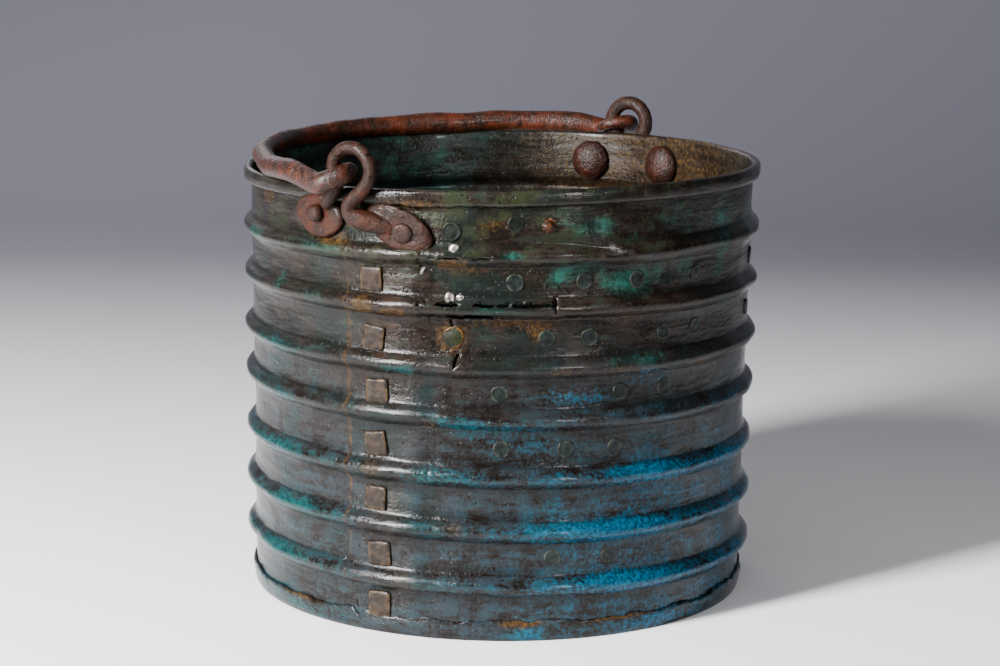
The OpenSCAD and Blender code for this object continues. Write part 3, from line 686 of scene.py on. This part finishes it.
for number, node in enumerate(("repair_plate_upper", "repair_plate_middle", "repair_plate_lower")):
    first, last, low, high = node_span(node)
    plate_a, plate_z = np.meshgrid(np.arange(first, last + 0.5, 1.0), np.linspace(low, high, 14))
    edge_in = np.minimum(plate_a - first, last - plate_a)
    plate_z = plate_z + 0.9 * MM * lattice_noise(round_point(plate_a, TOP_R, plate_z), 12 * MM, 30 + number)
    plate_r = shell_r(plate_z) + dents(plate_a, plate_z) - 1.75 * MM - 0.3 * MM * ramp(edge_in, 0, 2)
    plate = grid_mesh(node + "_sheet", settled(round_point(plate_a, plate_r, plate_z)),
                      np.ones((13, plate_a.shape[1] - 1), bool), SHEET)
    add_values(plate, **patina_values(np.tile(plate_a.ravel(), 2), np.tile(plate_z.ravel(), 2), 1.0))
    tidy_mesh(plate)
    piece_of(node + "_sheet", plate, wall_bronze, "bucket", "bronze_sheet", node)


# ---------------------------------------------------------------------------
# The rivets in the bronze
# Seven square heads clench the lap, each cut from sheet and hammered down.
# Small round ones hold the repair plates, filed flush, and a few fill holes.
# ---------------------------------------------------------------------------
# Points round each ring of a rivet
RIVET_SIDES = 40


def node_at(node):
    """The bearing and height at a CAD node's middle."""
    low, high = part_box(node)
    middle = (low + high) / 2
    a = math.degrees(math.atan2(middle.y, middle.x)) - 180
    return (a + 100) % 360 - 100, middle.z


def rivet_mesh(name, a, z, section, seed, corners=0.0, turn=0.0, rough=0.15, lean=0.0):
    """A rivet turned about the wall's normal. A section is radius, depth and share of squareness."""
    count = RIVET_SIDES
    theta = np.arange(count) * 2 * math.pi / count
    square = 1 / np.maximum(abs(np.cos(theta)), abs(np.sin(theta)))
    points = []
    for radius, depth, share in section:
        r = radius * (1 + corners * share * (np.minimum(square, 1.36) - 1))
        way = theta + math.radians(turn)
        flat = np.stack([r * np.cos(way), r * np.sin(way), theta * 0 + depth], -1)
        wobble = lattice_noise(flat + [seed * 17.3, z * 977, 0], 3.4, 40)
        wobble = wobble + 0.5 * lattice_noise(flat + [0, seed * 5.1, 3], 1.5, 41)
        grow = 1 + rough * wobble / max(radius, 1.5)
        bearing = a + np.degrees(flat[:, 0] * grow * MM / TOP_R)
        height = z + flat[:, 1] * grow * MM
        out = (depth + 0.5 * rough * wobble * (depth > 0) + lean * flat[:, 0]) * MM
        points.append(on_wall(bearing, height, out))
    points = np.concatenate(points)
    faces = ring_faces(len(section), count)
    faces.append(tuple(range(count))[::-1])
    faces.append(tuple(range((len(section) - 1) * count, len(section) * count)))
    mesh = bpy.data.meshes.new(name)
    mesh.from_pydata(points.tolist(), [], faces)
    tidy_mesh(mesh)
    return mesh


def tail_section(back):
    """The hammered tail inside, its foot at a depth behind the wall's outer face."""
    return [(0.9, -back - 1.3, 0), (2.6, -back - 1.25, 0), (3.7, -back - 0.7, 0), (3.8, -back - 0.1, 0),
            (2.3, -back + 0.05, 0)]


def rivet_bronze(name, dark, light, trim):
    """Hammered bronze: darker than the sheet, with worn bright edges and a dirty joint line."""
    material, tree = new_material(name)
    mottle, grain = noises(tree, (3.5, 4.0, 0.6, 1), (1.0, 2.0, 0.5, 1))
    edge, joint = (add_node(tree, "Attribute", {}, "Fac", attribute_name=key) for key in ("edge", "joint"))
    colour = lay_over(tree, dark, (mottle, 0.4, 0.62, 1.0, light), (mottle, 0.42, 0.62, edge, trim))
    colour = add_node(tree, "Mix", {"Factor": joint, 6: colour, 7: "#0d0a07"}, 2, data_type="RGBA")
    relief = weighted(tree, mottle, (grain, 0.3))
    bump = add_node(tree, "Bump", {"Height": relief, "Strength": 0.5, "Distance": 0.6 * MM})
    finish_surface(tree, {
        "Base Color": colour, "Roughness": weighted(tree, 0.3, (mottle, 0.2)), "Metallic": 0.1,
        "Normal": bump, "Specular IOR Level": 0.18, "Coat Weight": 0.03, "Coat Roughness": 0.15,
    })
    return material


def rivet_values(mesh, section):
    """Marks the worn rim and the dirty foot of a head, ring by ring. The tail has the first five rings."""
    joint_rows, edge_rows = (6, 7), (8, 9)
    edge = np.repeat([float(k in edge_rows) for k in range(len(section))], RIVET_SIDES)
    joint = np.repeat([float(k in joint_rows) for k in range(len(section))], RIVET_SIDES)
    add_values(mesh, edge=edge, joint=joint)


seam_bronze = rivet_bronze("hammered_bronze_heads", "#1a130f", "#2b2118", "#40311f")
patch_bronze = rivet_bronze("filed_bronze_rivets", "#0d1110", "#19211f", "#2e3226")

for number in range(1, 8):
    node = f"seam_rivet_{number}"
    a, z = node_at(node)
    # Set by eye: no two heads are in line, and most sit low between their ribs
    a += (-0.9, -0.4, 0.4, 0.0, -0.1, 1.0, 1.0)[number - 1]
    z -= (0.6, 3.0, 2.8, 2.0, 2.2, 3.0, 2.6)[number - 1] * MM
    lap = SHEET / MM + 0.1
    # Each head is seated a little askew, and some tip up at one edge
    turn = (2, -6, 3, 8, -1, 4, 1)[number - 1]
    lean = (0.02, 0.05, 0.03, 0.05, 0.06, 0.03, 0.02)[number - 1]
    side = 6.7 - 0.12 * (number % 3)
    section = tail_section(1.4) + [
        (2.3, lap - 0.3, 0), (side + 0.15, lap - 0.35, 1), (side + 0.25, lap + 0.25, 1),
        (side + 0.1, lap + 1.0, 1), (side - 0.5, lap + 1.35, 1), (side - 1.6, lap + 1.5, 1),
        (side - 3.6, lap + 1.45, 0.9), (0.9, lap + 1.5, 0.5),
    ]
    mesh = rivet_mesh(node + "_head", a, z, section, number, corners=1.0, turn=turn, rough=0.2, lean=lean)
    rivet_values(mesh, section)
    piece_of(node + "_head", mesh, seam_bronze, "bucket", "bronze_rivet", node)


def flush_rivet(node, radius, seed, proud=0.35, dome=0.0, behind=1.1, material=patch_bronze):
    """A filed rivet: a round head that stands hardly proud, ringed by a thin worn edge."""
    a, z = node_at(node)
    section = tail_section(1.4 + behind) + [
        (2.3, -0.25, 0), (radius + 0.25, -0.3, 0), (radius + 0.3, 0.05, 0), (radius + 0.1, proud, 0),
        (radius - 0.35, proud + 0.12, 0), (radius - 0.9, proud - 0.1 + 0.3 * dome, 0),
        (radius * 0.55, proud - 0.05 + 0.8 * dome, 0), (0.6, proud + dome, 0),
    ]
    mesh = rivet_mesh(node + "_head", a, z, section, seed, rough=0.22)
    rivet_values(mesh, section)
    piece_of(node + "_head", mesh, material, "bucket", "bronze_rivet", node)


for group, count in (("upper", 9), ("middle", 6), ("lower", 2)):
    for number in range(1, count + 1):
        flush_rivet(f"{group}_plate_rivet_{number}", 4.4 + 0.2 * (number % 2), number + count)

crack_bronze = rivet_bronze("green_bronze_rivet", "#0e0f07", "#1c2010", "#5c3810")
copper = rivet_bronze("worn_copper_rivet", "#1a0c07", "#40230f", "#6f4a2e")
dark_bronze = rivet_bronze("dark_bronze_rivet", "#070a08", "#0e130e", "#181b14")
flush_rivet("crack_rivet", 5.7, 51, proud=0.5, dome=0.7, behind=0.1, material=crack_bronze)
flush_rivet("side_rivet_upper", 4.4, 52, proud=0.7, behind=0.1)
flush_rivet("side_rivet_lower", 4.4, 53, proud=0.7, behind=0.1)
flush_rivet("band_rivet_dark", 5.0, 54, proud=0.7, behind=0.1, material=dark_bronze)
flush_rivet("band_rivet_spot", 4.2, 55, proud=0.3, behind=0.1, material=dark_bronze)
flush_rivet("band_rivet_copper", 3.7, 56, proud=0.6, dome=1.3, behind=0.1, material=copper)


# ---------------------------------------------------------------------------
# The solder drops
# Three drops of bright white metal on the first two ribs, left by an old
# attempt to run solder into the cracks.
# ---------------------------------------------------------------------------
def drop_mesh(name, a, z, size, seed):
    """A lumpy drop sitting on the wall."""
    count, rows = 20, 9
    points = []
    for i in range(1, rows):
        phi = math.pi * i / rows
        for j in range(count):
            theta = 2 * math.pi * j / count
            way = np.array([math.sin(phi) * math.cos(theta), math.sin(phi) * math.sin(theta), math.cos(phi)])
            lump = 1 + 0.35 * float(lattice_noise(way + seed, 0.55, 60))
            u, v, w = way * lump * size * np.array([1.0, 1.1, 0.55])
            bearing = a + math.degrees(u * MM / TOP_R)
            points.append(on_wall(bearing, z + v * MM, float(rib_out(z)) + w * MM + 0.1 * MM))
    faces = ring_faces(rows - 1, count)
    faces.append(tuple(range(count))[::-1])
    faces.append(tuple(range((rows - 2) * count, (rows - 1) * count)))
    mesh = bpy.data.meshes.new(name)
    mesh.from_pydata([tuple(p) for p in points], [], faces)
    tidy_mesh(mesh)
    return mesh


# Old tin solder: grey in its hollows, bright white metal where it is rubbed
solder, solder_tree = new_material("old_tin_solder")
solder_mottle = noises(solder_tree, (2.2, 3.0, 0.6, 1))[0]
solder_colour = lay_over(solder_tree, "#4b4540", (solder_mottle, 0.42, 0.6, 1.0, "#b9b2aa"))
solder_bump = add_node(solder_tree, "Bump", {"Height": solder_mottle, "Strength": 0.6, "Distance": 0.5 * MM})
finish_surface(solder_tree, {
    "Base Color": solder_colour, "Roughness": 0.38, "Metallic": 0.8, "Normal": solder_bump,
})

# Bearing in degrees, then height and size in millimetres
for number, (a, z, size) in enumerate(((21.4, 217.2, 2.9), (20.3, 190.2, 3.0), (22.5, 190.6, 2.2))):
    name = f"solder_drop_{number + 1}"
    piece_of(name, drop_mesh(name, a, z * MM, size, number * 3.7), solder, "bucket", "bronze_rivet")


# ---------------------------------------------------------------------------
# The lugs
# Each is one bar of forged iron: bent into a ring, its two legs crossed in
# towards each other, and both ends beaten out into palms riveted over the lap.
# ---------------------------------------------------------------------------
# Millimetres: the rings' distance out, the hinge line's height, and a ring's radius
RING_X = 155.65
HINGE = frame["joints"][0]["pos_m"][2] / MM
RING_R = 12.0
# Half the thickness of each ring's bar, the front lug's and the rear lug's
RING_BAR = {-1: 3.75, 1: 4.3}
PALM_T = 4.0


def smooth_path(points, spacing):
    """Points along a smooth curve through the given ones; each is x, y, z and radius."""
    p = np.array(points, float)
    p = np.vstack([2 * p[0] - p[1], p, 2 * p[-1] - p[-2]])
    out = []
    for i in range(1, len(p) - 2):
        steps = max(2, int(np.linalg.norm(p[i + 1, :3] - p[i, :3]) / spacing))
        for k in range(steps):
            t = k / steps
            out.append(0.5 * (2 * p[i] + (p[i + 1] - p[i - 1]) * t
                              + (2 * p[i - 1] - 5 * p[i] + 4 * p[i + 1] - p[i + 2]) * t * t
                              + (3 * p[i] - p[i - 1] - 3 * p[i + 1] + p[i + 2]) * t**3))
    out.append(p[-2])
    return np.array(out)


def forged_bar(path, sides, seed, hammer):
    """A closed bar swept along a path, its section hammered out of round. Millimetres."""
    at, radius = path[:, :3], path[:, 3]
    forward = np.gradient(at, axis=0)
    forward /= np.linalg.norm(forward, axis=1, keepdims=True)
    side = np.cross(forward[0], [0.3, 0.2, 0.93])
    rings = []
    for i in range(len(at)):
        side = side - forward[i] * np.dot(side, forward[i])
        side /= np.linalg.norm(side)
        up = np.cross(forward[i], side)
        theta = np.arange(sides) * 2 * math.pi / sides
        ring = at[i] + radius[i] * (np.outer(np.cos(theta), side) + np.outer(np.sin(theta), up))
        outward = (ring - at[i]) / radius[i]
        bumps = 0.6 * lattice_noise(ring + seed, 11.0, 70) + 0.3 * lattice_noise(ring + seed, 4.5, 71)
        rings.append(ring + outward * (hammer * bumps)[:, None])
    points = [tuple(p) for ring in rings for p in ring]
    faces = [(p, s, r, q) for p, q, r, s in ring_faces(len(rings), sides)]
    tip = rings[0].mean(0) - forward[0] * radius[0] * 0.35
    end = rings[-1].mean(0) + forward[-1] * radius[-1] * 0.35
    points += [tuple(tip), tuple(end)]
    last = (len(rings) - 1) * sides
    for j in range(sides):
        n = (j + 1) % sides
        faces.append((len(points) - 2, j, n))
        faces.append((len(points) - 1, last + n, last + j))
    return points, faces


def palm_shell(a0, z0, long_half, high_half, slope, thick, dish, seed):
    """A palm: a leaf of iron lying on the lap, crowned, with a thin hammered edge. Millimetres."""
    count, rows = 48, 12
    theta = np.arange(count) * 2 * math.pi / count
    points = []
    layers = [(i / rows, True) for i in range(rows + 1)] + [(1 - i / rows, False) for i in range(1, rows + 1)]
    tilt = math.radians(slope)
    for share, front in layers:
        share = max(share, 0.02)
        rim = np.stack([np.cos(theta), np.sin(theta), theta * 0 + seed], -1)
        outline = 1 + 0.05 * lattice_noise(rim, 0.8, 72)
        # The leaf draws out to a blunt point on its left, where the leg runs into it
        point = 1 + 0.12 * np.maximum(0, -np.cos(theta)) ** 3
        u = share * long_half * outline * point * np.cos(theta)
        v = share * high_half * outline * np.sin(theta)
        along, up = u * math.cos(tilt) - v * math.sin(tilt), u * math.sin(tilt) + v * math.cos(tilt)
        crown = thick * (0.30 + 0.70 * np.sqrt(max(0.0, 1 - share**3.2)))
        crown = crown - dish * math.exp(-((share / 0.5) ** 2))
        depth = SHEET / MM + 0.15 + (crown if front else 0.0) + 0 * theta
        # It lifts off the wall along its top edge
        depth = depth + 1.3 * ramp(v / high_half, 0.35, 1.0) * share
        if front:
            flat = np.stack([along + seed * 9, up, depth], -1)
            depth = depth + 0.45 * lattice_noise(flat, 6.0, 73) + 0.25 * lattice_noise(flat, 2.6, 74)
        bearing = a0 + np.degrees(along * MM / (TOP_R + 2 * MM))
        height = (z0 + up) * MM
        spot_on = round_point(bearing, shell_r(height) + depth * MM, height)
        points += [tuple(p) for p in settled(spot_on) / MM]
    total = len(layers)
    faces = [(p, s, r, q) for p, q, r, s in ring_faces(total, count)]
    faces.append(tuple(range(count)))
    faces.append(tuple(range((total - 1) * count, total * count))[::-1])
    return points, faces


def welded_mesh(name, shells, voxel, pitting):
    """Joins overlapping closed shells into one skin and roughens it. Millimetres in, metres out."""
    points, faces = [], []
    for shell_points, shell_faces in shells:
        faces += [tuple(v + len(points) for v in f) for f in shell_faces]
        points += shell_points
    mesh = bpy.data.meshes.new(name + "_rough")
    mesh.from_pydata([tuple(c * MM for c in p) for p in points], [], faces)
    tidy_mesh(mesh)
    scratch = bpy.data.objects.new(name + "_rough", mesh)
    bpy.context.scene.collection.objects.link(scratch)
    remesh = scratch.modifiers.new("weld", "REMESH")
    remesh.mode = "VOXEL"
    remesh.voxel_size = voxel * MM
    soften = scratch.modifiers.new("soften", "SMOOTH")
    soften.factor = 0.5
    soften.iterations = 2
    bpy.context.view_layer.update()
    done = bpy.data.meshes.new_from_object(scratch.evaluated_get(bpy.context.evaluated_depsgraph_get()))
    done.name = name
    bpy.data.objects.remove(scratch)
    co = mesh_points(done)
    normals = np.zeros(len(done.vertices) * 3)
    done.vertices.foreach_get("normal", normals)
    bumps = 0.5 * lattice_noise(co, 3.2 * MM, 75) + 0.35 * lattice_noise(co, 1.5 * MM, 76)
    holes = ramp(lattice_noise(co, 2.4 * MM, 77), 0.62, 0.85)
    co = co + normals.reshape(-1, 3) * ((bumps * pitting - holes * 0.45) * MM)[:, None]
    done.vertices.foreach_set("co", co.ravel())
    tidy_mesh(done)
    add_values(done, pit=holes)
    return done


def lug_shells(side, left_palm, right_palm, seed):
    """The ring with its legs, and the two palms. side is -1 for the front lug, 1 for the rear."""
    x = side * RING_X
    ring = []
    # Seen from outside, left is +Y on the front lug and -Y on the rear one
    left = -side
    for angle in range(-38, 219, 12):
        turn = math.radians(angle)
        ring.append((x, left * RING_R * math.cos(turn), HINGE + RING_R * math.sin(turn), RING_BAR[side]))
    foot = side * (TOP_R / MM + 3.6)
    legs_in = [(foot, left * 21, 236.0, 3.0), (side * 152.5, left * 17.0, 239.5, 3.7),
               (side * 154.6, left * 12.8, 244.5, 3.9)]
    legs_out = [(x, left * -5.6, 245.2, 3.95), (x, left * -1.2, 241.6, 4.1),
                (side * 155.2, left * 1.9, 237.4, 4.4), (side * 154.0, left * 1.0, 232.8, 5.1),
                (side * 152.4, left * -4.0, 230.4, 5.6),
                (side * 150.0, left * -11.0, 228.8, 5.3), (side * 147.4, left * -17.5, 227.2, 4.6),
                (side * 145.4, left * -24.0, 226.0, 2.6)]
    bar = forged_bar(smooth_path(legs_in + ring + legs_out, 1.0), 20, seed, 0.22)
    return [bar, palm_shell(*left_palm, 1.5, seed), palm_shell(*right_palm, 0.5, seed + 3)]


def forged_iron(name, brown, red, dark, gloss, shine):
    """Wrought iron, rusted red-brown and waxed: soft sheen, orange blooms and black pin holes."""
    material, tree = new_material(name)
    broad, mottle, grain = noises(tree, (16, 4.0, 0.6, 1), (4.5, 6.0, 0.7, 1), (1.3, 3.0, 0.6, 1))
    orange, pit = (add_node(tree, "Attribute", {}, "Fac", attribute_name=key) for key in ("orange", "pit"))
    bloom = weighted(tree, orange, (broad, 0.7), (mottle, 0.5))
    # The last layer, paler flecks on the grain, is painted glints
    colour = lay_over(
        tree, dark, (mottle, 0.35, 0.65, 1.0, brown), (bloom, 0.52, 0.88, 1.0, red),
        (grain, 0.55, 0.75, 0.25, "#3f2d20"),
    )
    colour = add_node(tree, "Mix", {"Factor": pit, 6: colour, 7: "#060403"}, 2, data_type="RGBA")
    relief = weighted(tree, mottle, (grain, 0.35))
    bump = add_node(tree, "Bump", {"Height": relief, "Strength": 0.9, "Distance": 1.2 * MM})
    finish_surface(tree, {
        "Base Color": colour, "Roughness": weighted(tree, gloss, (grain, 0.25)), "Metallic": 0.05,
        "Normal": bump, "Specular IOR Level": shine, "Coat Weight": 0.04, "Coat Roughness": 0.1,
    })
    return material


lug_iron = forged_iron("waxed_rusty_iron", "#24150e", "#37170b", "#190e09", 0.28, 0.14)
front_left = node_at("lug_rivet_front_left")
front_right = node_at("lug_rivet_front_right")
rear_left = node_at("lug_rivet_rear_left")
rear_right = node_at("lug_rivet_rear_right")
# The front lug was riveted a little low and to the left, its left palm the most
front_left = (front_left[0] - 1.7, front_left[1] - 3.4 * MM)
front_right = (front_right[0] - 1.3, front_right[1] - 1.2 * MM)
# Each palm: its middle, half its length and height in millimetres, and its slope in degrees
for name, node, side, first, second in (
    ("lug_front_forged", "lug_front", -1, (front_left, 17.6, 12.8, -6), (front_right, 20.0, 12.0, -27)),
    ("lug_rear_forged", "lug_rear", 1, (rear_left, 14.5, 12.6, 6), (rear_right, 15.5, 12.2, -12)),
):
    palms = []
    for (a, z), long_half, high_half, slope in (first, second):
        palms.append((a, z / MM, long_half, high_half, slope, PALM_T))
    lug = welded_mesh(name, lug_shells(side, palms[0], palms[1], 11.0 + 7 * side), 0.62, 0.28)
    lug_co = mesh_points(lug)
    palm_a = np.degrees(np.arctan2(lug_co[:, 1], lug_co[:, 0])) - 180
    orange = 0.14 * spot(palm_a, lug_co[:, 2], first[0][0], first[0][1] / MM, 15, 15)
    orange = orange * (lug_co[:, 2] < 250 * MM)
    orange = orange + 0.05 * spot(palm_a, lug_co[:, 2], second[0][0] - 4, second[0][1] / MM, 6, 8)
    add_values(lug, orange=orange)
    piece_of(name, lug, lug_iron, "bucket", "forged_iron", node)


# ---------------------------------------------------------------------------
# The lug rivets
# Four iron rivets through palm and lap: broad domed heads inside the bucket,
# the ends hammered flat outside, except one that was left as a short stub.
# ---------------------------------------------------------------------------
palm_top = SHEET / MM + PALM_T + 0.2
dome = [(1.0, -9.2, 0), (5.0, -8.8, 0), (9.0, -7.0, 0), (11.6, -4.4, 0), (12.3, -2.6, 0),
        (11.8, -1.5, 0), (4.0, -1.2, 0)]
stub = [(4.0, palm_top - 1.6, 0), (4.8, palm_top - 1.5, 0), (4.9, palm_top + 1.2, 0),
        (4.2, palm_top + 3.0, 0), (2.6, palm_top + 3.7, 0), (0.7, palm_top + 3.8, 0)]
disc = [(4.0, palm_top - 1.6, 0), (5.3, palm_top - 1.5, 0), (5.5, palm_top + 0.3, 0),
        (5.0, palm_top + 0.95, 0), (3.6, palm_top + 1.1, 0), (0.7, palm_top + 1.15, 0)]
dome_iron = forged_iron("glossy_rust_iron", "#26110a", "#3b1609", "#160906", 0.2, 0.24)
for number, (node, end) in enumerate((
    ("lug_rivet_front_left", stub), ("lug_rivet_front_right", disc),
    ("lug_rivet_rear_left", disc), ("lug_rivet_rear_right", disc),
)):
    a, z = node_at(node)
    # The front two rivets went in a little low and to the left
    a -= (1.5, 0.4, 0.0, 0.0)[number]
    z -= (2.0, 2.6, 0.0, 0.0)[number] * MM
    mesh = rivet_mesh(node + "_forged", a, z, dome + end, 80 + number, rough=0.35)
    add_values(mesh, pit=np.zeros(len(mesh.vertices)), orange=np.full(len(mesh.vertices), -0.02))
    piece_of(node + "_forged", mesh, lug_iron if number < 2 else dome_iron, "bucket", "forged_iron", node)


# ---------------------------------------------------------------------------
# The handle
# One forged round bar, 11 to 12 mm thick, bowed to lie along the rim. Each
# end is drawn down and bent round its ring into a hook that nearly closes.
# ---------------------------------------------------------------------------
EYE_SAG, EYE_TIP = math.radians(18), math.radians(14)
# Millimetres: the bar's radius, and the height of its middle where it lies on the rim
BAR_R = 5.75
REST_Z = RIM_Z / MM + BAR_R + 0.3


def hook_points(side):
    """The hook round one ring, from its tip back to where the bar leaves it. Millimetres."""
    centre = np.array([side * RING_X, RING_R * math.cos(EYE_SAG), HINGE - RING_R * math.sin(EYE_SAG)])
    out = np.array([side * math.cos(EYE_TIP), 0, -math.sin(EYE_TIP)])
    back = np.array([0, math.cos(EYE_SAG), -math.sin(EYE_SAG)])
    points = []
    # The rear end of the bar was left thicker
    stout = 1.13 if side > 0 else 1.03
    # Angle from straight out towards the bar, and the bar's radius there
    for angle, radius in ((-262, 2.0), (-240, 2.8), (-210, 3.1), (-180, 3.2), (-150, 3.5), (-120, 4.0),
                          (-95, 4.6), (-65, 5.1), (-35, 5.4), (-5, 5.6), (25, 5.8)):
        turn = math.radians(angle)
        radius *= 1 + (stout - 1) * float(ramp(angle, -150, -20))
        reach = RING_BAR[side] + 1.0 + radius
        place = centre + reach * (out * math.cos(turn) + back * math.sin(turn))
        points.append((*place, radius))
    return points


def rim_place(side, bearing, off, z, radius):
    """A point above the rim, at a bearing from the X axis towards +Y."""
    r = TOP_R / MM + (HEM_W - SHEET) / 2 / MM + off
    turn = math.radians(bearing)
    return (side * r * math.cos(turn), r * math.sin(turn), z, radius)


def half_bar(side, inward):
    """One end of the bar, from its hook's tip to where it comes down on the rim."""
    swell = 1.2 if side > 0 else 0.15
    shoulder = []
    # Bearing, distance out from the rim, share of the spring, height, and share of the swelling
    for bearing, off, share, up, grow in (
        (13.5, 12.6, 0.0, -1.4, 1.0), (20, 9.6, 0.2, -1.0, 1.0), (27, 6.6, 0.45, -0.2, 0.8),
        (33, 3.6, 0.65, 0.7, 0.6), (40, 0.4, 0.8, 0.2, 0.2),
    ):
        shoulder.append(rim_place(side, bearing, off - share * inward, REST_Z + up, 5.9 + swell * grow))
    return hook_points(side) + shoulder


# The front half of the bar has sprung inwards, so it lies just inside the rim there
SPRUNG = 9.0
arc = []
for bearing in range(47, 134, 7):
    inward = SPRUNG * ramp(bearing, 75, 125) - 0.35 * math.sin(bearing / 9)
    stout = 0.8 * (1 - ramp(bearing, 47, 85))
    level = REST_Z + 0.25 * math.sin(bearing / 5) + 0.9 * stout
    arc.append(rim_place(1, bearing, -inward, level, BAR_R + 0.2 * math.cos(bearing / 4) + stout))
bar_path = smooth_path(half_bar(1, 0.0) + arc + half_bar(-1, SPRUNG)[::-1], 1.7)
rim_under = np.stack([bar_path[:, 0], bar_path[:, 1], np.full(len(bar_path), RIM_Z / MM)], -1) * MM
rim_level = settled(rim_under)[:, 2] / MM
bar_path[:, 2] += (rim_level - RIM_Z / MM) * ramp(bar_path[:, 1], 40, 90)
bar_path[:, 2] -= 0.75 * ramp(bar_path[:, 1], 52, 76)
bar_points, bar_faces = forged_bar(bar_path, 28, 5.0, 0.42)
handle_mesh = bpy.data.meshes.new("handle_forged")
handle_mesh.from_pydata([tuple(c * MM for c in p) for p in bar_points], [], bar_faces)
tidy_mesh(handle_mesh)
handle_co = mesh_points(handle_mesh)
handle_pits = ramp(lattice_noise(handle_co, 3.0 * MM, 90), 0.66, 0.85)
handle_orange = 0.03 * ramp(handle_co[:, 0], -60 * MM, 60 * MM) + 0.04 * (handle_co[:, 2] < 254.5 * MM)
add_values(handle_mesh, pit=handle_pits, orange=handle_orange)
handle_iron = forged_iron("waxed_handle_iron", "#2a160d", "#4c1e0a", "#170b07", 0.16, 0.3)
piece_of("handle_forged", handle_mesh, handle_iron, "handle", "forged_iron", "bail")


# ---------------------------------------------------------------------------
# The studio
# A floor that sweeps up into a wall, its paint going from white near the bucket to grey further back as
# painted shade. A tall soft light at the front left does most of the work, with a weaker one at the front
# right and faint ones at the left edge, behind and above.
# ---------------------------------------------------------------------------
CAMERA_A = math.radians(-59)


def studio_point(turn, distance, height):
    """A place round the bucket; turn is in degrees to the right of the camera."""
    way = CAMERA_A + math.radians(turn)
    return Vector((distance * math.sin(way), -distance * math.cos(way), height))


def backdrop():
    """Floor and wall as one curved sheet, square to the camera."""
    section = [(0.45, 0.0), (0.1, 0.0), (-0.6, 0.0), (-1.2, 0.0)]
    turns = np.linspace(0.15, math.pi / 2, 12)
    section += [(-1.2 - 1.1 * math.sin(t), 1.1 - 1.1 * math.cos(t)) for t in turns]
    section += [(-2.3, 2.2), (-2.3, 4.0)]
    points, faces = [], []
    right = Vector((math.cos(CAMERA_A), math.sin(CAMERA_A), 0))
    ahead = studio_point(0, 1.0, 0)
    for near, height in section:
        for across in (-5.0, 5.0):
            points.append(tuple(ahead * near + right * across + Vector((0, 0, height))))
    for i in range(len(section) - 1):
        faces.append((2 * i, 2 * i + 1, 2 * i + 3, 2 * i + 2))
    mesh = bpy.data.meshes.new("studio_sweep")
    mesh.from_pydata(points, [], faces)
    mesh.polygons.foreach_set("use_smooth", [True] * len(faces))
    return bpy.data.objects.new("studio_sweep", mesh)


sweep = backdrop()
bpy.context.scene.collection.objects.link(sweep)
sweep_paint, sweep_tree = new_material("studio_sweep_painted_shade")
sweep_place = add_node(sweep_tree, "TexCoord", {}, "Object")
sweep_depth = add_node(sweep_tree, "VectorMath", {0: sweep_place, 1: tuple(-studio_point(0, 1.0, 0))},
                       "Value", operation="DOT_PRODUCT")
# Painted shade: the sweep's colour darkens from white to grey with distance behind the bucket
sweep_colour = lay_over(sweep_tree, "#f8f6f8", (sweep_depth, -0.15, 1.4, 1.0, "#676671"))
finish_surface(sweep_tree, {"Base Color": sweep_colour, "Roughness": 0.7})
sweep.data.materials.append(sweep_paint)


def soft_light(name, turn, distance, height, wide, tall, power):
    """A soft box of a width and height in metres and a power in watts, aimed at the bucket's middle."""
    lamp = bpy.data.lights.new(name, "AREA")
    lamp.shape = "RECTANGLE"
    lamp.size, lamp.size_y = wide, tall
    lamp.energy = power
    light = bpy.data.objects.new(name, lamp)
    light.location = studio_point(turn, distance, height)
    light.rotation_euler = (Vector((0, 0, 0.12)) - light.location).to_track_quat("-Z", "Y").to_euler()
    bpy.context.scene.collection.objects.link(light)


soft_light("key_left", -48, 1.8, 0.9, 0.3, 1.1, 215)
soft_light("fill_right", 30, 1.9, 0.7, 0.22, 0.4, 19)
soft_light("edge_left", -120, 1.8, 0.8, 0.3, 1.2, 2)
soft_light("rear_soft", -160, 1.6, 0.9, 0.6, 0.8, 3)
soft_light("overhead", -10, 0.7, 2.0, 1.4, 1.4, 6)

world = bpy.data.worlds.new("studio_air")
world.use_nodes = True
world.node_tree.nodes["Background"].inputs["Color"].default_value = hex_colour("#a3a6b4")
world.node_tree.nodes["Background"].inputs["Strength"].default_value = 0.125
bpy.context.scene.world = world

# The camera stands 1.5 m away and looks down a little, with its lens in millimetres
lens = bpy.data.cameras.new("camera")
lens.lens = 93.1
lens.sensor_width = 36.0
camera = bpy.data.objects.new("camera", lens)
CAMERA_D, CAMERA_Z, PITCH, ROLL = 1.5036, 0.4269, math.radians(10.63), math.radians(0.7)
camera.location = studio_point(0, CAMERA_D, CAMERA_Z)
camera.rotation_mode = "XYZ"
camera.matrix_world = (Matrix.Translation(camera.location) @ Matrix.Rotation(CAMERA_A, 4, "Z")
                       @ Matrix.Rotation(math.pi / 2 - PITCH, 4, "X") @ Matrix.Rotation(ROLL, 4, "Z"))
bpy.context.scene.collection.objects.link(camera)
bpy.context.scene.camera = camera
